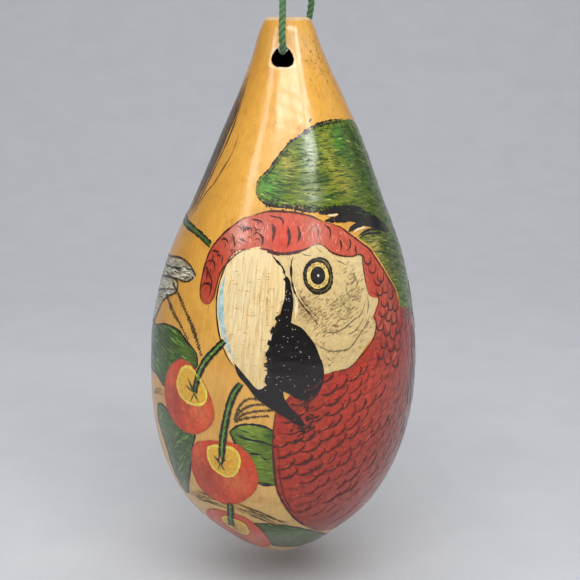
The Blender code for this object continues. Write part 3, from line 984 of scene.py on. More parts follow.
FRUIT_PAINT = paint_material("fruit_paint", streaks=(0.8, 0.4), depth=0.35,
                             touches=[((0.72, 0.20, 0.07), (0.6, 0.6), 0.54, 0.7, 0.6),
                                      (FRUIT_DARK, (0.7, 0.5), 0.55, 0.7, 0.6)])
YELLOW_PAINT = paint_material("yellow_paint", streaks=(1.2, 1.2), depth=0.25,
                              touches=[((0.62, 0.20, 0.05), (0.8, 0.8), 0.58, 0.72, 0.5)])


def ripe(center):
    """Red that darkens and glows around a fruit's centre."""
    across, down = center
    return washes(
        FRUIT,
        (across - 10.0, down + 5.0, 8.0, 5.0, FRUIT_DARK, 0.8),
        (across + 5.0, down + 5.5, 7.0, 3.0, (0.72, 0.17, 0.06), 0.75),
        (across - 13.0, down - 2.0, 3.0, 6.0, (0.70, 0.14, 0.05), 0.7),
    )


def paint_fruit():
    for name, fruit, spot in (
        ("upper", FRUIT_UPPER, YELLOW_UPPER),
        ("middle", FRUIT_MIDDLE, YELLOW_MIDDLE),
        ("bottom", FRUIT_BOTTOM, YELLOW_BOTTOM),
    ):
        center = np.mean(spot, axis=0)
        film(f"fruit_{name}", smooth_loop(fruit), 3, ripe(center), FRUIT_PAINT)
        film(f"fruit_{name}_spot", smooth_loop(spot), 4, washes(YELLOW), YELLOW_PAINT)


BACK_FRUIT = (5.0, 14.0, 7.4)               # drop below the stem's end, then half the width and the height
BACK_SPOT = (1.2, 6.6, 3.2)


def hung(stem, fruit, count=28):
    """The outline of a fruit, or of its spot, that hangs at a stem's end."""
    drop, wide, tall = fruit
    across, down = stem[-1]
    return oval((across, down + drop), wide, tall, count)


def paint_back():
    """The branch goes on round the back with more leaves and fruit."""
    leaf = paint_material("back_leaf_paint", streaks=(0.35, 1.2), depth=0.6,
                          touches=[(GREEN_BRIGHT, (0.4, 1.0), 0.52, 0.68, 0.7),
                                   (GREEN_DARK, (0.5, 0.9), 0.5, 0.66, 0.8)])
    for number, place in enumerate(BACK_LEAVES):
        film(f"back_leaf_{number}", smooth_loop(placed(LEAF_GLYPH, *place)), 1, washes(LEAF), leaf)
    for number, stem in enumerate(BACK_STEMS):
        film(f"back_fruit_{number}", hung(stem, BACK_FRUIT), 3, washes(FRUIT), FRUIT_PAINT)
        film(f"back_fruit_{number}_spot", hung(stem, BACK_SPOT), 4, washes(YELLOW), YELLOW_PAINT)


def paint_long_feathers():
    """Short red feathers end the breast, and long dark ones end the wing."""
    red = paint_material("red_feather_paint", streaks=(0.5, 1.2), depth=0.45,
                         touches=[(RED_DARK, (0.6, 1.0), 0.5, 0.68, 0.8)])
    blue = paint_material("long_feather_paint", streaks=(0.4, 1.4), depth=0.5,
                          touches=[((0.03, 0.10, 0.13), (0.5, 1.2), 0.5, 0.66, 0.8),
                                   (GREEN_DARK, (0.5, 0.9), 0.54, 0.68, 0.7)])
    for number, place in enumerate(RED_FEATHERS):
        tone = washes(MAROON, (*place[:2], 8.0, 6.0, RED_DARK, 0.8))
        film(f"red_feather_{number}", smooth_loop(placed(WING_FEATHER, *place)), 3 + number % 2, tone, red)
    for number, place in enumerate(WING_FEATHERS):
        outline = smooth_loop(placed(WING_FEATHER, *place))
        film(f"long_feather_{number}", outline, 3 + number, washes((0.05, 0.10, 0.035)), blue)


def draw_back_lines():
    chance = random.Random(131)
    edges = Strokes("back_leaf_edges", 2, INK, 131)
    for place in BACK_LEAVES:
        edges.add(placed(LEAF_GLYPH, *place), 0.32, rough=0.5, closed=True)
        edges.add(placed([(1.5, 0.1), (8.0, -0.3), (15.5, 0.0)], *place), 0.24, rough=0.6)
        for _ in range(16):
            start, side = spread(chance, 2.5, 14.0), spread(chance, -2.2, 2.2)
            edges.add(placed([(start, side * 0.3), (start + 2.0, side)], *place), 0.16, rough=0.5, steps=3)
    edges.finish()
    rims = Strokes("back_fruit_edges", 5, RED_INK, 137)
    for stem in BACK_STEMS:
        rims.add(hung(stem, BACK_FRUIT, 16), 0.2, rough=0.8, closed=True)
        rims.add(hung(stem, BACK_SPOT, 14), 0.16, rough=0.8, closed=True)
    rims.finish()
    quills = Strokes("red_feather_lines", 5, RED_INK, 149)
    for place in RED_FEATHERS:
        quills.add(placed(WING_FEATHER, *place), 0.24, rough=0.5, closed=True)
        quills.add(placed([(2, 0), (16, -0.2), (31, 0.4)], *place), 0.2, rough=0.4)
    quills.finish()
    for number, place in enumerate(WING_FEATHERS):
        barbs = Strokes(f"long_feather_{number}_lines", 4 + number, INK, 139 + number)
        barbs.add(placed(WING_FEATHER, *place), 0.3, rough=0.5, closed=True)
        barbs.add(placed([(1, 0), (16, -0.2), (32, 0.4)], *place), 0.26, rough=0.4)
        for _ in range(60):
            start, side = spread(chance, 1.5, 28.0), chance.choice((-1.0, 1.0))
            barb = [(start, 0.2 * side), (start + 2.2, 2.0 * side)]
            barbs.add(placed(barb, *place), 0.12, rough=0.5, steps=3)
        barbs.finish()


def paint_leaves():
    dark = paint_material("leaf_paint", streaks=(0.35, 1.2), depth=0.6,
                          touches=[((0.16, 0.24, 0.06), (0.4, 1.0), 0.54, 0.68, 0.7),
                                   (GREEN_DARK, (0.5, 0.9), 0.5, 0.66, 0.8)])
    bright = paint_material("bright_leaf_paint", streaks=(0.4, 1.3), depth=0.5,
                            touches=[(GREEN_DARK, (0.5, 1.2), 0.55, 0.68, 0.75),
                                     ((0.42, 0.55, 0.08), (0.4, 1.0), 0.55, 0.7, 0.6)])
    lime = (0.33, 0.42, 0.04)
    right_tone = washes(
        GREEN_BRIGHT,
        (-20.0, 88.0, 4.0, 3.0, LEAF, 0.7),
        (-13.0, 86.0, 5.0, 2.0, lime, 0.7),
        (-4.0, 86.0, 2.5, 6.0, LEAF, 0.8),
        (-10.0, 95.0, 4.0, 1.6, lime, 0.5),
    )
    for name, outline, tone, paint in (
        ("left", LEAF_LEFT, washes(LEAF, (-44.0, 71.0, 7.0, 3.0, GREEN_BRIGHT, 0.4)), dark),
        ("low", LEAF_LOW, washes(LEAF_DUSKY), dark),
        ("bottom", LEAF_BOTTOM, washes(LEAF, (10.0, 114.0, 9.0, 3.0, GREEN_BRIGHT, 0.4)), dark),
        ("right", LEAF_RIGHT, right_tone, bright),
    ):
        film(f"leaf_{name}", smooth_runs(*outline), 1, tone, paint)


# ---------------------------------------------------------------- pen and brush lines

INK = ink_material("black_ink", (0.012, 0.010, 0.008), variation=0.3)
RED_INK = ink_material("dark_red_ink", (0.055, 0.009, 0.006), variation=0.5)
BROWN_INK = ink_material("brown_ink", BROWN, variation=0.6)
PALE_BROWN_INK = ink_material("pale_brown_ink", BROWN_SOFT, variation=0.4)
GREY_LINE = ink_material("grey_ink", GREY_INK, variation=0.5)
GREEN_INK = ink_material("green_ink", (0.020, 0.045, 0.008), variation=0.8)
YELLOW_GREEN = ink_material("yellow_green_ink", (0.30, 0.33, 0.06), variation=0.4)
STEM_GREEN = ink_material("stem_green", (0.075, 0.15, 0.025), variation=0.8)
LEAF_LINE = ink_material("leaf_light_ink", (0.13, 0.24, 0.04), variation=0.7)
BLUE_LINE = ink_material("pale_blue_ink", (0.27, 0.39, 0.39), variation=0.5)
WHITE_LINE = ink_material("white_ink", (0.72, 0.69, 0.58), variation=0.1)
OCHRE_PAINT = ink_material("ochre_ink", (0.11, 0.075, 0.022), variation=0.9)
CREAM_PAINT = ink_material("cream_ink", (0.74, 0.60, 0.36), variation=0.1)
EYE_YELLOW = ink_material("eye_yellow", (0.62, 0.47, 0.14), variation=0.25)
DARK_BROWN = ink_material("dark_brown_ink", (0.060, 0.034, 0.012), variation=0.5)


CROWN_FEATHERS = (
    (0.34, [(-5.6, 41.2), (-3.5, 41.6), (-2.4, 42.3), (-2.8, 42.9)]),
    (0.55, [(-8.2, 42.7), (-7.0, 43.6), (-6.9, 44.8), (-7.3, 46.3)]),
    (0.50, [(0.2, 43.0), (0.9, 44.6), (1.3, 45.6), (0.4, 47.3)]),
    (0.45, [(5.2, 43.0), (6.4, 44.2), (6.3, 45.3), (5.5, 46.4)]),
    (0.38, [(-14.8, 44.7), (-12.9, 45.2), (-12.1, 46.0), (-12.3, 47.0)]),
    (0.30, [(-20.3, 41.8), (-17.7, 42.0), (-14.7, 42.2), (-12.7, 42.9)]),
    (0.24, [(-23.4, 45.0), (-22.7, 44.0), (-20.8, 43.7), (-18.8, 44.0), (-18.5, 44.9)]),
    (0.26, [(-25.6, 43.9), (-23.8, 43.7), (-22.2, 43.8)]),
    (0.30, [(-25.2, 46.0), (-23.2, 46.1), (-20.8, 46.5)]),
    (0.32, [(-35.3, 46.6), (-33.2, 46.3), (-31.5, 46.6), (-30.2, 47.4)]),
    (0.42, [(-39.4, 49.2), (-37.0, 49.0), (-34.0, 49.2)]),
    (0.32, [(-40.0, 51.9), (-39.4, 51.3), (-37.4, 51.0), (-35.6, 51.4), (-34.5, 52.8)]),
    (0.34, [(-40.2, 53.2), (-39.2, 52.6), (-38.2, 53.8), (-37.9, 55.1)]),
    (0.26, [(-39.0, 52.6), (-36.6, 54.0), (-34.8, 55.2), (-34.2, 57.0)]),
    (0.36, [(-40.2, 56.9), (-38.8, 56.0), (-37.0, 55.8), (-35.2, 56.0), (-34.4, 56.9), (-34.9, 58.5)]),
    (0.18, [(11.3, 44.4), (12.9, 43.5), (15.4, 43.2), (16.3, 44.4), (15.2, 46.0)]),
    (0.26, [(20.3, 43.1), (22.5, 43.8), (23.2, 44.7), (22.3, 45.8)]),
    (0.34, [(27.2, 46.1), (28.3, 47.0), (28.2, 47.8), (27.5, 48.5)]),
    (0.28, [(33.5, 46.2), (34.0, 47.2), (32.4, 48.3), (30.0, 48.7)]),
    (0.30, [(36.8, 47.6), (36.2, 48.7), (36.4, 49.7)]),
    (0.28, [(-10.2, 41.0), (-7.6, 41.2), (-5.2, 41.4)]),
    (0.22, [(-28.6, 45.6), (-26.9, 47.0), (-26.5, 48.0)]),
    (0.20, [(-32.6, 49.4), (-31.4, 50.4), (-31.5, 51.6)]),
)
CROWN_SIDE_FEATHERS = [
    (42.6, 51.0), (44.4, 53.0), (46.6, 55.8), (49.0, 55.2), (46.8, 58.0), (50.8, 57.8), (54.2, 59.4),
    (48.8, 60.6), (52.8, 61.8), (56.6, 62.4), (46.6, 62.6), (50.4, 64.0), (54.6, 65.0), (44.6, 65.4),
    (48.6, 67.0), (52.6, 68.2), (57.0, 67.4), (46.0, 69.4), (50.8, 70.8), (55.6, 71.2), (43.6, 71.6),
    (48.0, 73.4), (53.4, 74.6),
]
CURL = [(-1.1, -0.5), (-0.9, 0.6), (0.0, 1.1), (0.9, 0.5), (1.0, -0.8)]


def draw_crown_feathers():
    strokes = Strokes("crown_feathers", 6, RED_INK, 11)
    for width, line in CROWN_FEATHERS:
        strokes.add(line, width, ends=(0.3, 0.35), rough=0.35)
    for angle, depth in CROWN_SIDE_FEATHERS:
        line = placed(CURL, angle, depth, 1.05, 0.15)
        strokes.add(line, 0.30, ends=(0.35, 0.35), rough=0.35)
    chance = random.Random(12)
    for _ in range(30):
        angle = spread(chance, -38.0, -14.0)
        middle = float(np.interp(angle, [-38, -34, -28, -14], [53.0, 49.0, 46.6, 44.6]))
        depth = middle + spread(chance, -2.6, 2.4)
        turn = float(np.interp(angle, [-38, -14], [1.3, 0.2])) + spread(chance, -0.5, 0.5)
        line = placed([(-0.7, 0.2), (0.0, -0.25), (0.8, 0.15)], angle, depth, spread(chance, 0.5, 1.2), turn)
        strokes.add(line, spread(chance, 0.08, 0.18), ends=(0.3, 0.4), rough=0.5, steps=3)
    strokes.finish()
    draw_crown_highlight_dashes(chance)


# Pale pink dashes over the top of the crown: a painted highlight, broken up as over scuffed lacquer.
def draw_crown_highlight_dashes(chance):
    highlight_dashes = Strokes("crown_highlight_dashes", 5, ink_material("crown_highlight_pink", (0.60, 0.19, 0.13), variation=0.35), 13)
    for across, down, reach, count in (
        (-25.0, 44.6, 5.5, 90),
        (-14.0, 43.4, 4.0, 40),
        (14.0, 43.6, 8.0, 60),
        (27.0, 46.4, 4.0, 30),
    ):
        for _ in range(count):
            angle, depth = across + chance.gauss(0.0, reach * 0.6), down + chance.gauss(0.0, 1.2)
            dash(highlight_dashes, chance, (angle, depth), (-0.2, 0.2), (0.3, 1.4), (0.05, 0.15), steps=2, thin=0.4,
                 rough=0.6)
    highlight_dashes.finish()


def draw_crown_edges():
    left = [(-34.4, 60.2), (-38.5, 59.4), (-40.4, 57), (-40.7, 52), (-40, 49), (-37.5, 47), (-34, 45),
            (-30, 43.5), (-25.5, 42), (-20, 41.2)]
    over = [(-20, 41.2), (-15, 40.5), (-9.5, 40.1), (0, 40.2), (6, 40.5), (13, 41.2), (20, 42.4)]
    under = [(-13.3, 47.7), (-9.6, 47.8), (-5.8, 48.3), (-1.9, 48.6), (3.1, 48.4), (7.5, 48.0), (12, 47.3)]
    twice = [(-9.5, 48.3), (-7.6, 48.3), (-4.4, 48.7), (-3, 48.9)]
    inner = [(-34.4, 60), (-32.4, 58.4), (-31.8, 56), (-31.2, 53.5), (-29, 51.5), (-25.5, 49.6),
             (-21.5, 48.3), (-17.5, 47.8)]
    right = [(12, 47.2), (15, 46.8), (17.5, 47), (19.8, 47.7), (22, 48.6), (26, 49.4), (29.8, 49.8),
             (33.8, 50), (36.4, 49.8), (39.6, 50.3), (38.8, 51.4), (38.7, 53.2), (38.7, 55.5), (39.0, 57),
             (39.6, 58.4)]
    outer = [(20, 42.5), (29.3, 43.8), (33, 45.0), (36.4, 46.1), (42, 48.0), (45.7, 49.3), (48.3, 51.3),
             (51.6, 53.7), (54.8, 56.3), (58.1, 58.6), (59.8, 60.8), (60.4, 64)]
    draw("crown_edge", 7, RED_INK, 0.30, left, over, outer, rough=0.4)
    draw("crown_edge_under", 7, RED_INK, 0.42, under, twice, rough=0.3)
    draw("crown_edge_inner", 7, RED_INK, 0.22, inner, right, rough=0.4)


FEATHER = [(-1.9, 0.75), (-0.7, 0.7), (0.5, 0.2), (1.4, -0.8), (1.7, -1.7), (1.25, -2.0)]


def draw_plumage():
    chance = random.Random(23)
    shape = as_pairs(smooth_runs(*PLUMAGE))
    dark = Strokes("feather_lines", 6, RED_INK, 23)
    faded = ink_material("faded_red_ink", (0.19, 0.035, 0.025), variation=0.4)
    faint = Strokes("feather_faint", 5, faded, 24)
    pale = ink_material("pale_red_ink", (0.46, 0.075, 0.04), variation=0.4)
    hair = Strokes("feather_hairs", 4, pale, 25)
    for row in range(34):
        for step in range(46):
            across = -6.0 + step * 3.0 + row * 0.75 + spread(chance, -0.55, 0.55)
            depth = 70.0 + row * 2.5 - step * 1.15 + spread(chance, -0.5, 0.5)
            if not 60.0 < depth < 118.0:
                continue
            angle = across / degree_at(depth)
            size = spread(chance, 0.75, 1.15)
            steep = np.interp(angle, [0.0, 30.0, 60.0, 90.0], [0.25, -0.05, -0.35, -0.6])
            line = placed(FEATHER, angle, depth, size, steep + spread(chance, -0.18, 0.18))
            if not fits(shape, line):
                continue
            fade = np.interp(angle, [30.0, 60.0], [0.0, 1.0]) + np.interp(depth, [98.0, 108.0], [0.0, 0.9])
            if chance.random() > fade:
                heavy = float(np.interp(angle, [5.0, 35.0], [1.3, 0.9]))
                dark.add(line, heavy * spread(chance, 0.20, 0.42), ends=(0.45, 0.3), steps=3, rough=0.45)
            elif chance.random() < 0.8:
                faint.add(line, spread(chance, 0.14, 0.26), ends=(0.45, 0.4), steps=3, rough=0.3)
            if chance.random() < 0.4:
                hair.add([line[1], line[3]], spread(chance, 0.2, 0.5), steps=3, rough=0.3)
    dark.finish()
    faint.finish()
    hair.finish()
    draw_plumage_edges(chance)


def draw_plumage_edges(chance):
    edge = [(-2.6, 82), (-3.3, 88.5), (-2.3, 95), (-1.1, 100.5), (2.4, 105), (8.4, 109.6), (17.5, 113.2),
            (31, 116.7)]
    inner = [(-0.6, 90), (-0.2, 96), (1.6, 101.5), (4.6, 105.4), (9.6, 109)]
    chin = [(16.8, 73.9), (22, 73.5), (27.5, 73.1), (32.5, 71.2), (36.4, 69.6), (40.6, 67.3), (42.2, 64.2),
            (41.4, 63.2), (43.6, 61.6), (45.2, 59.7), (43, 58.5), (40.4, 57.6)]
    draw("plumage_edge", 6, RED_INK, 0.36, edge, rough=0.35)
    draw("plumage_edge_inner", 6, RED_INK, 0.18, inner, rough=0.5)
    draw("chin_edge", 7, RED_INK, 0.2, chin, rough=0.4)
    scribble = Strokes("chin_scribble", 7, INK, 29)
    for _ in range(34):
        angle, depth = chance.gauss(9.5, 3.2), chance.gauss(84.5, 2.0)
        dash(scribble, chance, (angle, depth), (0.8, 2.2), (-0.2, -1.0), (0.14, 0.3), steps=3, rough=0.4)
    scribble.finish()


def stipple(strokes, chance, line, stray, count):
    """Short hatching scattered along a line. Each stroke strays as far as the last one was long."""
    path = as_pairs(smooth_through(line, 8))
    for _ in range(count):
        angle, depth = chance.choice(path)
        angle += chance.gauss(0.0, stray) / 0.45
        depth += chance.gauss(0.0, stray)
        stray = spread(chance, 0.3, 1.9)
        end = (angle + stray, depth - 0.28 * stray + spread(chance, -0.12, 0.12))
        strokes.add([(angle, depth), end], spread(chance, 0.08, 0.17), steps=2, thin=0.4, rough=0.5)


def draw_face():
    lines = [
        [(12.5, 67), (15.5, 68), (19, 69), (23.5, 69.2), (27.5, 69), (31, 67.4), (37, 64.2), (39.4, 62.2)],
        [(16.5, 64.5), (20, 65.2), (25, 64.7), (30, 63.2), (34.5, 62), (37.4, 59.4)],
        [(27, 66), (31.5, 65.2), (35.4, 63)],
        [(37.6, 62.4), (38.8, 60.4), (38.6, 58.6)],
    ]
    draw("face_lines", 5, GREY_LINE, 0.26, *lines, rough=0.6, ends=(0.3, 0.4))
    thin = [
        [(7, 48.3), (9, 48.9), (12, 49.0)],
        [(14.5, 47.3), (17.4, 48.6)],
        [(24, 50.4), (26.6, 50.8), (29, 51.5)],
        [(28.5, 54.6), (28, 57), (30.5, 58.2), (32.8, 58)],
        [(31.0, 52.6), (33.4, 54.4), (34.2, 56.4)],
        [(24.6, 58.6), (28, 60.6), (32.4, 60.4)],
        [(21.6, 60.6), (25.4, 62.6), (29.6, 62.2)],
    ]
    draw("face_thin_lines", 5, GREY_LINE, 0.14, *thin, rough=0.8, ends=(0.3, 0.4))
    bill = [
        [(-6.8, 48.9), (-4.2, 50.1), (-1.5, 51.3), (-0.5, 52.4), (0.2, 53.4)],
        [(3.4, 49.2), (2.5, 50.3), (2.5, 52.3), (3.0, 54.3), (4.3, 56.4), (6.0, 57.9)],
    ]
    draw("bill_lines", 6, INK, 0.3, *bill, rough=0.5)
    cheek = [
        [(5.2, 57.2), (7.4, 58.9), (9.8, 60.3), (12.4, 62.0), (15.0, 63.6)],
        [(6.4, 57.0), (8.8, 58.7), (11.4, 60.2), (14.4, 61.8)],
    ]
    draw("cheek_lines", 6, DARK_BROWN, 0.24, *cheek, rough=1.0, ends=(0.3, 0.5))


def draw_face_dots():
    chance = random.Random(31)
    dots = Strokes("face_dots", 5, ink_material("cheek_ink", (0.21, 0.14, 0.06), variation=0.7), 31)
    for line, stray, count in (
        ([(5.6, 57.6), (8.4, 59.2), (11.0, 60.9), (13.0, 62.6)], 0.5, 150),
        ([(13.0, 62.6), (18.0, 64.8), (24.0, 64.6)], 0.55, 60),
        ([(18.0, 58.8), (24.0, 59.8), (30.0, 58.0), (33.0, 54.0)], 0.6, 110),
        ([(14.0, 60.0), (21.0, 62.0), (28.0, 61.2), (33.0, 57.6)], 0.6, 110),
        ([(28.0, 52.0), (31.5, 54.0), (32.5, 57.0)], 0.6, 36),
        ([(14.0, 66.0), (18.0, 70.5), (24.0, 71.5)], 0.7, 26),
        ([(30.0, 69.0), (36.0, 66.5), (39.0, 64.0)], 0.5, 40),
    ):
        stipple(dots, chance, line, stray, count)
    for angle, depth in ((18.2, 70.6), (18.5, 71.9)):
        dots.add([(angle, depth), (angle + 0.6, depth + 0.3)], 0.5, steps=1, thin=0.8)
    dots.finish()
    draw("mouth_light", 5, CREAM_PAINT, 0.5, [(3.6, 54.6), (4.9, 57.2), (5.1, 59.6), (4.6, 62)], rough=0.4)


EYE_OUTLINE = [
    (10.6, 50.5), (12.8, 49.9), (15.4, 49.7), (18.2, 49.9), (20.4, 50.8), (21.2, 52.1), (21.5, 53.6),
    (20.9, 55.1), (19.0, 56.2), (15.8, 56.8), (12.5, 56.5), (10.1, 55.6), (8.6, 54.2), (8.3, 52.6),
    (9.1, 51.3),
]


RING_WIDE, RING_TALL = 5.3, 2.75            # half the width of the yellow ring, and half its height


def draw_eye():
    across, down = EYE
    film("eye_band", smooth_loop(EYE_OUTLINE), 5, washes(OCHRE), OCHRE_PAINT)
    film("eye_ring", oval(EYE, RING_WIDE, RING_TALL), 6, washes(YELLOW), EYE_YELLOW)
    film("eye_pupil", oval(EYE, 3.45, 1.85), 8, washes(BLACK), INK)
    film("eye_glint", oval((across + 0.1, down), 0.4, 0.26, 12), 9, washes(WHITE), WHITE_LINE)
    ring = Strokes("eye_outline", 7, INK, 5)
    ring.add(EYE_OUTLINE, 0.30, rough=0.45, closed=True)
    ring.add(oval(EYE, 5.5, 2.85, 14), 0.24, rough=0.6, closed=True)
    ring.add(oval((across - 0.2, down + 0.1), 6.0, 3.15, 12), 0.14, rough=0.9, closed=True)
    ring.finish()
    chance = random.Random(7)
    fleck = Strokes("eye_flecks", 7, ink_material("eye_ochre", (0.36, 0.22, 0.05), variation=0.4), 7)
    for _ in range(46):
        turn = spread(chance, 0.0, 2.0 * math.pi)
        reach = spread(chance, 0.74, 0.96)
        angle = across + RING_WIDE * reach * math.cos(turn)
        depth = down + RING_TALL * reach * math.sin(turn)
        fleck.add([(angle, depth), (angle - 0.8 * math.sin(turn), depth + 0.4 * math.cos(turn))],
                  spread(chance, 0.12, 0.3), steps=2, thin=0.5)
    fleck.finish()


def draw_beak():
    left = [(-20.5, 47.9), (-26.6, 49), (-29.6, 53), (-30.7, 56.5), (-30, 60.5), (-27.7, 65), (-25.2, 68.2),
            (-21.7, 71.2), (-18, 73.2)]
    draw("beak_edge", 6, INK, 0.24, left, rough=0.35)
    stripe = [(-28.4, 54.0), (-28.6, 57), (-27.6, 61), (-25.4, 65), (-22.6, 68.2), (-19.6, 71)]
    draw("beak_stripe", 5, BLUE_LINE, 1.05, stripe, ends=(0.3, 0.5), rough=0.3)
    chance = random.Random(41)
    shape = as_pairs(smooth_runs(*BEAK))
    marks = Strokes("beak_marks", 6, ink_material("beak_hatch", (0.44, 0.27, 0.10), variation=0.8), 41)
    for row in range(34):
        depth = 52.0 + row * 0.62
        for _ in range(3):
            angle = spread(chance, -25.0, -5.0)
            reach = spread(chance, 0.8, 2.4)
            line = [(angle, depth), (angle + reach, depth + spread(chance, -0.1, 0.15))]
            if fits(shape, line):
                marks.add(line, spread(chance, 0.07, 0.16), steps=2, rough=0.5)
    for _ in range(64):
        angle, depth = spread(chance, -27.0, -3.0), spread(chance, 49.0, 73.0)
        line = [(angle, depth), (angle + spread(chance, -0.3, 0.3), depth + spread(chance, 2.0, 5.0))]
        if fits(shape, line):
            marks.add(line, spread(chance, 0.05, 0.12), steps=3, rough=0.6)
    marks.finish()


def draw_mouth():
    chance = random.Random(47)
    jagged = Strokes("mouth_jags", 6, INK, 47)
    for depth, reach, thick in ((61.6, 0.9, 1.3), (64.2, 1.3, 1.7), (66.9, 1.9, 1.2), (68.9, 1.0, 1.9),
                                (71.6, 1.9, 1.3), (74.3, 1.2, 1.8)):
        angle = np.interp(depth, [57, 61, 64, 66.5, 70, 76], [-0.5, -2.5, -4.3, -5, -6.2, -6])
        jagged.add([(angle + 1.6, depth + 0.2), (angle, depth),
                    (angle - 0.6 * reach, depth + spread(chance, -0.5, 0.4))],
                   thick, ends=(0.05, 0.5), steps=3, thin=0.45, rough=0.5)
    for _ in range(16):
        depth = spread(chance, 60.0, 76.5)
        angle = np.interp(depth, [57, 61, 64, 66.5, 70, 76], [-0.7, -2.8, -4.6, -5.3, -6.5, -6.4])
        angle -= spread(chance, 0.0, 1.1)
        dash(jagged, chance, (angle, depth), 0.4, (-0.3, 0.3), (0.1, 0.24), steps=1, thin=0.7)
    jagged.finish()
    flecks = Strokes("mouth_flecks", 8, WHITE_LINE, 48)
    for _ in range(60):
        depth = spread(chance, 56.0, 79.0)
        low = np.interp(depth, [56, 62, 67, 75, 80, 84], [0.4, -3.0, -4.5, -10, -4, 4])
        high = np.interp(depth, [56, 62, 66, 72, 77, 80, 84], [2.4, 1.5, 8, 14, 13, 3, 7])
        angle = spread(chance, low, high)
        dash(flecks, chance, (angle, depth), 0.35, (-0.15, 0.15), (0.05, 0.15), steps=1, thin=0.6)
    flecks.finish()


def draw_wing():
    chance = random.Random(53)
    shape = as_pairs(smooth_runs(*WING))
    dark = Strokes("wing_strokes", 3, GREEN_INK, 53)
    light = Strokes("wing_lights", 2, YELLOW_GREEN, 54)
    cool = Strokes("wing_cool", 2, ink_material("blue_green_ink", (0.04, 0.13, 0.03), variation=0.6), 55)
    for _ in range(2300):
        angle, depth = spread(chance, -19.0, 118.0), spread(chance, 23.0, 67.0)
        reach = spread(chance, 2.4, 8.0)
        drop = np.interp(angle, [-15, 20, 45, 70, 100], [0.35, -0.05, 0.15, 0.9, 1.4]) * reach / 4.0
        drop += spread(chance, -0.25, 0.25)
        line = [(angle, depth), (angle + reach / 2.0, depth + drop / 2.0 + spread(chance, -0.12, 0.04)),
                (angle + reach, depth + drop)]
        if not fits(shape, line):
            continue
        kind = chance.choices((dark, light, cool), (0.7, 0.12, 0.18))[0]
        kind.add(line, spread(chance, 0.06, 0.19), ends=(0.3, 0.5), steps=3, rough=0.4)
    for line in ([(6, 34.6), (14, 34.4), (22, 34.2), (30, 34)], [(22, 37.6), (30, 37.0), (38, 37)],
                 [(-9, 34.5), (-3, 34.8), (3, 34.4)], [(47, 49.6), (56, 50.6), (66, 52)]):
        dark.add(line, 0.3, rough=0.7, steps=6)
    dark.finish()
    light.finish()
    cool.finish()
    draw_wing_edges(chance)


def draw_wing_edges(chance):
    outline = [(-20.6, 36.2), (-20.3, 34), (-14.8, 31.9), (-10.2, 29.8), (-6, 27.9), (0, 25.9), (7, 24.8),
               (14.5, 23.3), (25.5, 22.3), (38, 21.8), (54, 21.8)]
    second = [(-19.4, 36.4), (-18.6, 34.4), (-13.6, 32.4), (-9.2, 30.4), (-5, 28.4), (0.6, 26.5)]
    lower = [(-20.6, 36.2), (-18, 37.5), (-13, 38.6), (-6, 39.2), (2, 39.3), (9, 40), (16, 40.3), (22, 40.3)]
    draw("wing_edge", 4, INK, 0.34, outline, lower, rough=0.8, steps=7)
    draw("wing_edge_second", 4, INK, 0.16, second, rough=0.9, steps=7)
    scribble = Strokes("wing_scribble", 4, INK, 56)
    for _ in range(150):
        angle = spread(chance, -14.0, 30.0)
        middle = float(np.interp(angle, [-14, -6, 9, 20, 30], [38.2, 39.0, 39.6, 40.0, 39.4]))
        depth = middle + chance.gauss(0.0, 0.35)
        dash(scribble, chance, (angle, depth), (0.4, 1.6), (-0.3, 0.3), (0.1, 0.3), steps=2, thin=0.5)
    for _ in range(70):
        angle = spread(chance, 10.0, 52.0)
        depth = float(np.interp(angle, [10, 25, 54], [24.2, 22.6, 22.0])) + chance.gauss(0.0, 0.16)
        dash(scribble, chance, (angle, depth), (0.4, 1.6), (-0.3, 0.3), (0.12, 0.34), steps=2, thin=0.5)
    scribble.finish()
    draw("wing_speck", 4, INK, 0.8, [(17, 21.5), (18.0, 21.7)], steps=2, thin=0.5)


def draw_claws():
    fingers = Strokes("claw_fingers", 5, INK, 59)
    for line, width in (
        ([(34, 40.4), (28.5, 40.3), (22, 40.5), (17.5, 40.7)], 0.85),
        ([(36, 42.1), (29, 42.2), (24.5, 42.2), (20.8, 42.3)], 0.85),
        ([(47, 43.6), (42, 43.9), (38, 44.2), (34.2, 44.9)], 0.95),
        ([(64, 46.0), (56, 45.5), (49, 45.3), (44, 45.6), (39.4, 46.2)], 0.42),
        ([(60, 46.6), (54, 46.3), (48, 46.0), (43, 46.2), (40.0, 46.6)], 0.3),
    ):
        fingers.add(line, width, ends=(0.1, 0.25), thin=0.25, rough=0.25)
    fingers.finish()
    gaps = Strokes("claw_gaps", 6, CREAM_PAINT, 60)
    gaps.add([(22.3, 41.35), (26, 41.3), (29.6, 41.2)], 0.3, steps=4)
    gaps.add([(37, 45.3), (41, 44.75), (47.2, 44.7)], 0.36, steps=4)
    gaps.finish()


def draw_stem(name, layer, line, width):
    """A painted stem: dark green with lighter streaks and ragged black edges."""
    draw(f"{name}_base", layer, GREEN_INK, width, line, ends=(0.05, 0.12), thin=0.6, rough=0.15)
    scale = degree_at(line[0][1])
    greens = Strokes(f"{name}_streaks", layer + 1, STEM_GREEN, 107)
    edges = Strokes(f"{name}_edges", layer + 2, INK, 109)
    run = (line[-1][0] - line[0][0]) * scale, line[-1][1] - line[0][1]
    side = Vector((-run[1], run[0])).normalized() * width

    def beside(share):
        return shifted(line, side.x * share / scale, side.y * share)

    for share, thick in ((-0.2, 0.13), (-0.04, 0.2), (0.13, 0.14)):
        greens.add(beside(share), thick, rough=0.7, ends=(0.1, 0.3), steps=7)
    for share, thick in ((-0.42, 0.36), (0.42, 0.28)):
        edges.add(beside(share), thick, rough=0.9, ends=(0.05, 0.15), thin=0.6, steps=9)
    greens.finish()
    edges.finish()


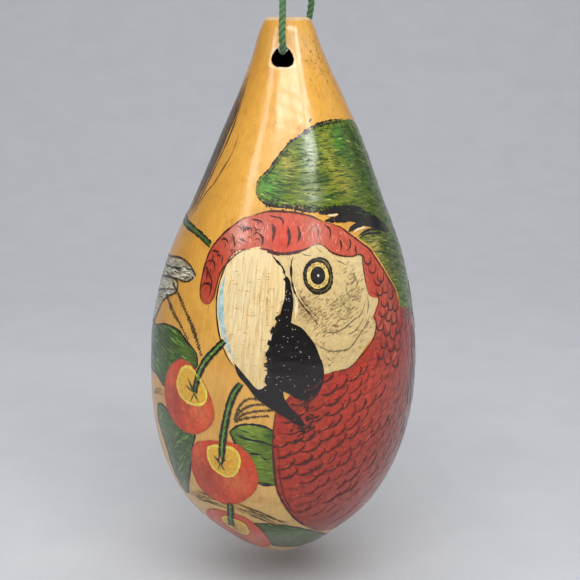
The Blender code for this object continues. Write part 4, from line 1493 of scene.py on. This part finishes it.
def draw_stems():
    for name, layer, line, width in (
        ("stem_upper", 5, STEM_UPPER, 1.3),
        ("stem_middle", 5, STEM_MIDDLE, 1.35),
        ("stem_bottom", 5, STEM_BOTTOM, 1.3),
        ("twig", 2, TWIG, 1.35),
    ):
        draw_stem(name, layer, line, width)
    for number, line in enumerate(BACK_STEMS):
        draw_stem(f"back_stem_{number}", 5, line, 1.2)
    tufts = Strokes("stem_tufts", 6, GREEN_INK, 113)
    for (angle, depth), lines in (
        ((-37.8, 79.8), ((-41.6, 76.6), (-42.6, 78.6), (-35.4, 81.8), (-36.2, 76.6), (-39.6, 82.0))),
        ((-25.8, 95.2), ((-28.6, 93.6), (-22.4, 94.0), (-26.8, 97.0), (-23.8, 97.0))),
        ((-29.0, 114.0), ((-33.0, 113.0), (-26.0, 115.0))),
    ):
        for tip in lines:
            tufts.add([(angle, depth), tip], 0.4, ends=(0.05, 0.6), steps=3, rough=0.4)
    tufts.finish()


def rope(strokes, chance, line, width, pitch=0.5):
    """A ragged line of short slanting dashes, as dry grass is drawn."""
    path = smooth_through([(a * 0.5, d) for a, d in line], 12)
    walked = 0.0
    for first, second in zip(path, path[1:]):
        walked += (second - first).length
        if walked < pitch:
            continue
        walked = 0.0
        run = (second - first).normalized()
        lean = Vector((-run.y, run.x, 0.0)) * width * spread(chance, 0.25, 0.55) + run * 0.25
        ends = [second - lean, second + lean]
        strokes.add([(2.0 * end.x, end.y) for end in ends], spread(chance, 0.2, 0.42), steps=2, thin=0.5,
                    rough=0.3)
    strokes.add([(2.0 * p.x, p.y) for p in path[::4]], 0.16, rough=0.8, steps=4)


def draw_fruit_edges():
    rings = Strokes("fruit_edges", 4, ink_material("fruit_edge_ink", (0.36, 0.05, 0.02), variation=0.5), 61)
    for outline in (FRUIT_UPPER, FRUIT_MIDDLE, FRUIT_BOTTOM):
        rings.add(outline, 0.22, rough=0.8, closed=True)
    rings.finish()
    spots = Strokes("fruit_spot_edges", 5, ink_material("lemon_ink", (0.62, 0.50, 0.07), variation=0.3), 62)
    glow = Strokes("fruit_spot_glow", 5, ink_material("orange_ink", (0.55, 0.22, 0.04), variation=0.4), 63)
    chance = random.Random(64)
    for outline in (YELLOW_UPPER, YELLOW_MIDDLE, YELLOW_BOTTOM):
        spots.add(outline, 0.42, rough=0.5, closed=True)
        center = np.mean(outline, axis=0)
        for _ in range(16):
            turn, reach = spread(chance, 0.0, 2.0 * math.pi), spread(chance, 0.25, 0.7)
            angle, depth = center[0] + 6.0 * reach * math.cos(turn), center[1] + 3.0 * reach * math.sin(turn)
            dash(glow, chance, (angle, depth), (-0.6, 0.6), (0.4, 1.2), (0.2, 0.45), steps=2, thin=0.4)
    spots.finish()
    glow.finish()


def draw_leaf_lines():
    edges = Strokes("leaf_edges", 2, INK, 67)
    for leaf in (LEAF_LEFT, LEAF_RIGHT, LEAF_LOW, LEAF_BOTTOM):
        for run in leaf:
            edges.add(run, 0.36, rough=0.4, ends=(0.1, 0.1), thin=0.5)
    for line in (
        [(-14, 92), (-9, 92), (-4, 94)],
        [(-19, 87.6), (-13, 88.6), (-7, 89), (-3, 90)],
        [(-8.5, 99), (-3, 99.5)],
    ):
        edges.add(line, 0.4, rough=0.4)
    edges.finish()
    chance = random.Random(71)
    veins = Strokes("leaf_veins", 2, GREEN_INK, 71)
    lights = Strokes("leaf_lights", 2, LEAF_LINE, 72)
    for leaf, slope, count in ((LEAF_LEFT, 0.12, 190), (LEAF_LOW, -0.5, 130), (LEAF_RIGHT, 0.12, 50),
                               (LEAF_BOTTOM, 0.1, 90)):
        shape = as_pairs(smooth_runs(*leaf))
        for _ in range(count):
            angle, depth = somewhere(chance, shape)
            reach = spread(chance, 2.0, 8.0)
            line = [(angle, depth), (angle + reach / 2, depth + slope * reach / 2 - 0.08),
                    (angle + reach, depth + slope * reach)]
            if fits(shape, line):
                kind = veins if chance.random() < 0.6 else lights
                kind.add(line, spread(chance, 0.08, 0.3), ends=(0.3, 0.5), steps=3)
    veins.finish()
    lights.finish()


PLUME_TOP = [(-103, 57.2), (-92, 54.8), (-76, 53.6), (-62, 52.6), (-52, 53.0), (-45.8, 54.8), (-50, 56.2),
             (-60, 56.4), (-74, 57.2), (-92, 58.4)]
PLUME_LOW = [(-108, 67.4), (-94, 60.6), (-78, 58.4), (-66, 57.2), (-57.6, 57.6), (-57, 59.2), (-63, 60.6),
             (-69, 62.4), (-73.5, 65.6), (-79, 68.4), (-94, 69.4)]


def draw_tail(chance):
    """Dark tail feathers at the upper left."""
    tail = Strokes("tail_streaks", 2, DARK_BROWN, 79)
    soft = Strokes("tail_soft", 1, PALE_BROWN_INK, 80)
    for _ in range(110):
        share = chance.random()
        start = -64.0 - 46.0 * share
        depth = 12.0 + 12.0 * chance.random()
        line = [(start, depth), (start + 2.5, depth + 5.0), (start - 0.5, depth + 11.0),
                (start - 4.0, depth + 17.0),
                (start - 7.0, depth + 23.0)]
        kind = tail if chance.random() < 0.6 else soft
        kind.add(line, spread(chance, 0.12, 0.5), ends=(0.35, 0.5), steps=6, rough=0.5)
    tail.add([(-62, 15.5), (-58.5, 24), (-61, 30), (-65, 36), (-68, 40.5), (-70.5, 45)], 0.4, rough=0.5)
    tail.add([(-66, 12), (-63, 20), (-64, 28), (-68, 36), (-72, 42)], 0.5, rough=0.5)
    tail.finish()
    soft.finish()
    draw("feather_line", 2, BROWN_INK, 0.26,
         [(-47, 25), (-47.5, 29), (-52, 32.4), (-57, 36), (-63.5, 38.7), (-67.5, 43)], rough=0.5)


def paint_plumes():
    """The curled pale feathers at the left side."""
    pale = paint_material("pale_plume", streaks=(0.4, 1.6), depth=0.6,
                          touches=[((0.66, 0.62, 0.48), (0.4, 1.4), 0.5, 0.62, 0.8),
                                   ((0.10, 0.08, 0.05), (0.5, 1.2), 0.54, 0.66, 0.6)])
    film("plume_top", smooth_loop(PLUME_TOP), 1, washes((0.36, 0.33, 0.21)), pale)
    film("plume_low", smooth_loop(PLUME_LOW), 1, washes((0.42, 0.38, 0.25)), pale)


def draw_plume_hairs(chance):
    whites = Strokes("plume_whites", 2, WHITE_LINE, 84)
    blacks = Strokes("plume_blacks", 2, INK, 85)
    for outline, slope in ((PLUME_TOP, -0.05), (PLUME_LOW, -0.14)):
        shape = as_pairs(smooth_loop(outline))
        for _ in range(230):
            angle, depth = somewhere(chance, shape)
            reach = spread(chance, 2.0, 6.5)
            middle = (angle + reach / 2.0, depth + slope * reach / 2.0 + spread(chance, -0.3, 0.1))
            line = [(angle, depth), middle, (angle + reach, depth + slope * reach)]
            if fits(shape, line):
                kind = whites if chance.random() < 0.6 else blacks
                kind.add(line, spread(chance, 0.07, 0.2), steps=3, rough=0.5)
    whites.finish()
    blacks.finish()


def draw_plume_edges(chance):
    edges = Strokes("plume_edges", 3, INK, 83)
    for line in ([(-103, 57.0), (-92, 54.4), (-76, 53.2), (-62, 52.2), (-52, 52.8), (-45.4, 54.6)],
                 [(-46, 55.0), (-50, 56.4), (-60, 56.6), (-74, 57.4)],
                 [(-108, 67.2), (-94, 60.2), (-78, 58.0), (-66, 56.9), (-57.4, 57.2), (-56.6, 59.2),
                  (-63, 60.9), (-69, 62.8)],
                 [(-84, 55.6), (-70, 55.0), (-58, 54.2)], [(-84, 62.0), (-74, 60.6), (-64, 59.4)],
                 [(-69, 62.8), (-73, 66.0), (-79, 68.6), (-94, 69.6), (-108, 67.6)]):
        rope(edges, chance, line, 0.6, pitch=0.45)
    edges.finish()


def draw_grass(chance):
    grass = Strokes("grass", 2, DARK_BROWN, 89)
    for line in ([(-62, 57.5), (-52, 60.4), (-45, 63.5), (-38.5, 67.5), (-35, 71)],
                 [(-66, 60.5), (-56, 63.5), (-49.5, 65.5), (-43, 68.4)],
                 [(-55, 59.4), (-47, 62.4), (-41, 65.6), (-36.6, 69.4)]):
        rope(grass, chance, line, 1.2, pitch=0.42)
    grass.finish()


def draw_side_feathers():
    chance = random.Random(79)
    draw_tail(chance)
    paint_plumes()
    draw_plume_hairs(chance)
    draw_plume_edges(chance)
    draw_grass(chance)


def draw_wisps():
    """Dry grass around the stems and below the plumage, and specks on the neck."""
    chance = random.Random(97)
    wisps = Strokes("wisps", 2, DARK_BROWN, 97)
    for line in (
        [(-18.8, 84.4), (-17.2, 81.4), (-13.8, 79.4), (-9.5, 79.2)],
        [(-18.8, 84.6), (-16.4, 82.2), (-12.0, 80.7), (-5.5, 80.3)],
        [(-18.8, 84.8), (-15.6, 83.0), (-10.5, 82.0), (-4.0, 81.6)],
        [(-19.0, 85.0), (-15.5, 83.9), (-10.0, 83.2), (-5.5, 82.9)],
    ):
        rope(wisps, chance, line, 0.8, pitch=0.42)
    for (start, end, count, fan) in (
        ((-52, 107.6), (-27, 106.4), 7, 1.6),
        ((-45, 105.2), (-24, 104.6), 4, 0.8),
        ((-20, 106.6), (6, 112.6), 11, 1.9),
        ((-72, 85.2), (-58, 82.6), 5, 0.8),
    ):
        for _ in range(count):
            tip = (end[0] + spread(chance, -3.0, 3.0), end[1] + spread(chance, -fan, fan))
            root = (start[0] + spread(chance, -3.0, 3.0), start[1] + 0.6 * spread(chance, -fan, fan))
            middle = ((root[0] + tip[0]) / 2.0, (root[1] + tip[1]) / 2.0 + spread(chance, -0.9, 0.3))
            wisps.add([root, middle, tip], spread(chance, 0.10, 0.2), ends=(0.4, 0.6), steps=8, rough=0.8)
    wisps.finish()
    specks = Strokes("neck_specks", 1, PALE_BROWN_INK, 101)
    for _ in range(120):
        angle, depth = 58.0 + chance.gauss(0.0, 16.0), 10.0 + chance.gauss(0.0, 3.2)
        if 2.0 < depth < 20.0:
            dash(specks, chance, (angle, depth), 0.9, (-0.2, 0.6), (0.10, 0.34), steps=1, thin=0.6)
    specks.finish()
    far_side = Strokes("second_bird", 4, ink_material("far_side_ink", (0.09, 0.05, 0.06), variation=0.8), 103)
    for _ in range(60):
        angle, depth = spread(chance, 66.0, 98.0), spread(chance, 68.0, 98.0)
        far_side.add([(angle, depth), (angle + 1.5, depth + 2.2), (angle + 1.0, depth + 4.6)],
                     spread(chance, 0.4, 1.0), ends=(0.3, 0.5), steps=3, rough=0.3)
    far_side.finish()


# ---------------------------------------------------------------- cord and knot

CORD_DIAMETER = 1.5
PLY_PITCH = 4.4
PLIES = 3
# Middle of the hole, through the neck and up to the knot, in millimetres from the loop's top.
FRONT_STRAND = [
    (0.0, 0.0, -45.1), (0.0, -3.0, -45.1), (0.0, -7.6, -45.1), (0.0, -9.5, -44.1), (-0.1, -10.1, -41.6),
    (0.0, -9.2, -37.5), (0.1, -6.4, -25.0), (0.1, -3.6, -12.0), (0.05, -1.5, -3.0), (0.0, -0.85, 0.1),
]
REAR_STRAND = [
    (0.0, 0.0, -45.1), (0.0, 3.0, -45.1), (0.0, 7.6, -45.1), (1.2, 9.7, -44.5), (4.1, 10.5, -42.2),
    (6.0, 9.7, -38.2), (6.6, 8.4, -32.5), (6.1, 6.6, -25.0), (4.1, 4.2, -15.0), (1.3, 1.9, -5.5),
    (0.0, 0.85, 0.1),
]
KNOT_CENTER = (0.0, 0.0, 3.0)
KNOT_REACH = (2.3, 2.1, 2.5)
KNOT_STEPS = 96
THROATS = [
    [(0.0, -0.85, -0.3), (0.05, -0.82, 0.8), (0.3, -0.6, 2.4)],
    [(0.0, 0.85, -0.3), (-0.05, 0.82, 0.8), (-0.3, 0.6, 2.4)],
]
TAILS = [
    [(-0.7, -0.2, 3.6), (-1.3, -0.4, 6.6), (-2.5, -0.7, 10.4), (-2.9, -0.9, 12.2)],
    [(0.7, 0.2, 3.6), (1.2, 0.5, 6.6), (2.1, 0.9, 9.4), (2.9, 1.0, 11.4)],
]


def cord_material():
    nodes = Nodes("twisted_cord")
    twist = nodes.attribute("ply", "Vector")
    fibre = nodes.noise(twist, (9.0, 1.2, 1.0), detail=5.0, roughness=0.7)
    # Darker in the grooves between the plies and lighter on their rounded tops: painted shade.
    crown = nodes.node("ShaderNodeSeparateXYZ", Vector=twist).outputs["Z"]
    color = nodes.mixed(rgba((0.020, 0.065, 0.018)), rgba((0.075, 0.19, 0.06)), nodes.ranged(crown, 0.1, 0.9))
    color = nodes.mixed(color, rgba((0.36, 0.46, 0.26)), nodes.ranged(fibre, 0.56, 0.68, 0.0, 0.85))
    nodes.bump(fibre, 0.6, 0.00012)
    return nodes.close(color, nodes.ranged(fibre, 0.3, 0.7, 0.42, 0.6), sheen=0.25)


def frames_along(path):
    """Two side directions at each point of a path, without twist between them."""
    runs = [(path[min(i + 1, len(path) - 1)] - path[max(i - 1, 0)]).normalized() for i in range(len(path))]
    side = runs[0].orthogonal().normalized()
    frames = []
    for run in runs:
        side = (side - run * side.dot(run)).normalized()
        frames.append((side, run.cross(side)))
    return frames


SIDES = 24                                  # points around the cord
VALLEY = 0.37                               # from the middle to the groove between plies, in cord diameters
SWELL = 0.17                                # how far a ply rises over that
TAPER_START = 0.6                           # share of the path where a cut end begins to thin


def twisted_tube(name, path, material, taper=0.0):
    """A laid cord of a few plies along a path in metres."""
    points, plies, faces = [], [], []
    walked = 0.0
    for index, (center, (side, other)) in enumerate(zip(path, frames_along(path))):
        if index:
            walked += (center - path[index - 1]).length / MM
        turn = 2.0 * math.pi * walked / PLY_PITCH
        shrink = 1.0 - taper * max(0.0, index / (len(path) - 1) - TAPER_START) / (1.0 - TAPER_START)
        for corner in range(SIDES):
            around = 2.0 * math.pi * corner / SIDES
            crown = abs(math.cos(PLIES / 2.0 * (around - turn)))
            radius = CORD_DIAMETER * MM * (VALLEY + SWELL * crown) * shrink
            points.append(center + (side * math.cos(around) + other * math.sin(around)) * radius)
            plies.append((around - turn, walked, crown))
    for low in range(0, len(points) - SIDES, SIDES):
        high = low + SIDES
        for corner in range(SIDES):
            follow = (corner + 1) % SIDES
            faces.append((low + corner, low + follow, high + follow, high + corner))
    faces.append(tuple(range(SIDES))[::-1])
    faces.append(tuple(range(len(points) - SIDES, len(points))))
    data = mesh_of(name, points, faces, material)
    smooth(data, 60.0)
    set_vectors(data, "ply", *np.transpose(plies))
    return new_object(name, data, LOOP)


def in_metres(points, steps):
    return [point * MM for point in smooth_through(points, steps)]


def knot_path():
    """An overhand knot's turns, inside the knot's oval."""
    path = []
    for step in range(KNOT_STEPS + 1):
        turn = 2.0 * math.pi * step / KNOT_STEPS
        wide = (2.0 + math.cos(3.0 * turn)) / 3.0
        spot = (wide * math.cos(2.0 * turn), wide * math.sin(2.0 * turn), 0.85 * math.sin(3.0 * turn))
        reach = [size - 0.5 * CORD_DIAMETER for size in KNOT_REACH]
        path.append(Vector([(c + s * r) * MM for c, s, r in zip(KNOT_CENTER, spot, reach)]))
    return path


def tie_cord():
    material = cord_material()
    pieces = [twisted_tube("knot", knot_path(), material)]
    for index, throat in enumerate(THROATS):
        pieces.append(twisted_tube(f"knot_throat_{index + 1}", in_metres(throat, 6), material))
    for index, tail in enumerate(TAILS):
        pieces.append(twisted_tube(f"tail_{index + 1}", in_metres(tail, 8), material, taper=0.35))
    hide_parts("loop_knot")
    front_path = in_metres(FRONT_STRAND, 22)
    front = twisted_tube("front_strand", front_path, material)
    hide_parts("hanging_cord")
    rear_path = in_metres(REAR_STRAND, 22)
    rear = twisted_tube("rear_strand", rear_path, material)
    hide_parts("hanging_cord")


# ---------------------------------------------------------------- seeds

def seed_material():
    nodes = Nodes("dry_seed")
    place = nodes.node("ShaderNodeTexCoord").outputs["Object"]
    mottle = nodes.noise(place, (900.0, 900.0, 900.0), detail=6.0, roughness=0.7)
    grain = nodes.noise(place, (4000.0, 1500.0, 1500.0), detail=3.0, roughness=0.6)
    color = nodes.mixed(rgba((0.20, 0.10, 0.035)), rgba((0.52, 0.34, 0.14)), nodes.ranged(mottle, 0.35, 0.65))
    color = nodes.shaded(color, nodes.ranged(grain, 0.3, 0.7, 0.75, 1.1))
    nodes.bump(grain, 0.4, 0.0001)
    return nodes.close(color, nodes.ranged(mottle, 0.3, 0.7, 0.45, 0.7))


def dress_seeds():
    material = seed_material()
    for name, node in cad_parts.items():
        if name.startswith("seed"):
            piece = bpy.data.objects[name]
            piece.data.materials.clear()
            piece.data.materials.append(material)


# ---------------------------------------------------------------- stage

FIELD_OF_VIEW = math.radians(28.0)
CAMERA_ELEVATION = math.radians(14.0)
CAMERA_DISTANCE = 0.275
CAMERA_TARGET = Vector((0.0016, 0.0, -0.1008))
LIGHT_DISTANCE = 0.6


def build_camera():
    data = bpy.data.cameras.new("camera")
    data.sensor_width = 36.0
    data.angle = FIELD_OF_VIEW
    data.clip_start = 0.01
    camera = linked("camera", data)
    away = Vector((0.0, -math.cos(CAMERA_ELEVATION), math.sin(CAMERA_ELEVATION)))
    camera.location = CAMERA_TARGET + away * CAMERA_DISTANCE
    camera.rotation_euler = (-away).to_track_quat("-Z", "Y").to_euler()
    bpy.context.scene.camera = camera


def add_softbox(name, location, target, size, power):
    data = bpy.data.lights.new(name, "AREA")
    data.shape = "RECTANGLE"
    data.size, data.size_y = size
    data.energy = power
    light = linked(name, data)
    light.location = location
    light.rotation_euler = (Vector(target) - Vector(location)).to_track_quat("-Z", "Y").to_euler()
    return light


def around(azimuth, elevation, distance):
    """A point seen from the gourd: azimuth from the front to the right, in degrees."""
    turn, rise = math.radians(azimuth), math.radians(elevation)
    spot = Vector((math.sin(turn) * math.cos(rise), -math.cos(turn) * math.cos(rise), math.sin(rise)))
    return Vector((0.0, 0.0, -0.09)) + spot * distance


FLOOR_FRONT = -1.2                          # the paper's front edge, in metres from the gourd
FLOOR_SIDE = 2.0
BEND_START = 0.28                           # where it starts to curve up, and how wide the curve is
BEND = 0.5
BACKDROP_TOP = 1.8


def build_floor():
    """One pale sheet: flat floor that curves up into the backdrop."""
    nodes = Nodes("studio_paper")
    place = nodes.node("ShaderNodeTexCoord").outputs["Object"]
    grain = nodes.noise(place, (60.0, 60.0, 60.0), detail=4.0)
    color = nodes.mixed(rgba((0.50, 0.51, 0.54)), rgba((0.53, 0.54, 0.565)), nodes.ranged(grain, 0.3, 0.7))
    material = nodes.close(color, 0.85)
    level = cad_box[0][2] - FLOOR_GAP
    section = [(FLOOR_FRONT, 0.0), (BEND_START, 0.0)]
    for turn in np.linspace(0.0, math.pi / 2.0, 32)[1:]:
        section.append((BEND_START + BEND * math.sin(turn), BEND - BEND * math.cos(turn)))
    section.append((BEND_START + BEND, BACKDROP_TOP))
    points = [(x, y, level + z) for x in (-FLOOR_SIDE, FLOOR_SIDE) for y, z in section]
    count = len(section)
    faces = [(i, count + i, count + i + 1, i + 1) for i in range(count - 1)]
    data = mesh_of("studio_floor", points, faces, material)
    data.shade_smooth()
    linked("studio_floor", data)


def softbox_at(name, azimuth, elevation, wide, tall, radiance):
    """A softbox that spans the given angles, seen from the gourd, with an even brightness."""
    size = [2.0 * LIGHT_DISTANCE * math.tan(math.radians(span / 2.0)) for span in (wide, tall)]
    power = radiance * math.pi * size[0] * size[1]
    return add_softbox(name, around(azimuth, elevation, LIGHT_DISTANCE), around(0.0, 0.0, 0.0), size, power)


# Azimuth and elevation, the width and height they span, all in degrees, and the brightness.
SOFTBOXES = (
    ("window_left", -55.0, 36.0, 10.0, 13.0, 7.5),
    ("window_right", 37.0, 40.5, 10.0, 14.0, 13.0),
    ("window_top", -2.0, 48.2, 40.0, 3.4, 26.0),
    ("window_panes", -10.0, 38.0, 80.0, 14.0, 0.9),
    ("front_fill", -4.0, 42.0, 64.0, 36.0, 2.1),
    ("right_fill", 90.0, 10.0, 40.0, 50.0, 0.45),
)
OVERHEAD_HEIGHT = 1.0
OVERHEAD_SIZE = (1.5, 0.9)
OVERHEAD_POWER = 7.2
SKY_COLOR = (0.9, 0.94, 1.0)
SKY_STRENGTH = 0.12


def build_light():
    for name, *numbers in SOFTBOXES:
        light = softbox_at(name, *numbers)
        light.visible_glossy = name != "front_fill"
    overhead = Vector((0.0, 0.25, OVERHEAD_HEIGHT))
    add_softbox("overhead", overhead, (0.0, 0.25, -0.2), OVERHEAD_SIZE, OVERHEAD_POWER)
    world = bpy.data.worlds.new("studio")
    world.use_nodes = True
    background = world.node_tree.nodes["Background"]
    background.inputs["Color"].default_value = rgba(SKY_COLOR)
    background.inputs["Strength"].default_value = SKY_STRENGTH
    bpy.context.scene.world = world
    bpy.context.scene.view_settings.view_transform = "Standard"


build_camera()
tie_cord()
build_gourd()
paint_bird()
paint_fruit()
paint_leaves()
paint_back()
paint_long_feathers()
draw_crown_feathers()
draw_crown_edges()
draw_plumage()
draw_face()
draw_face_dots()
draw_eye()
draw_beak()
draw_mouth()
draw_wing()
draw_claws()
draw_stems()
draw_fruit_edges()
draw_leaf_lines()
draw_side_feathers()
draw_wisps()
draw_back_lines()
dress_seeds()
build_floor()
build_light()
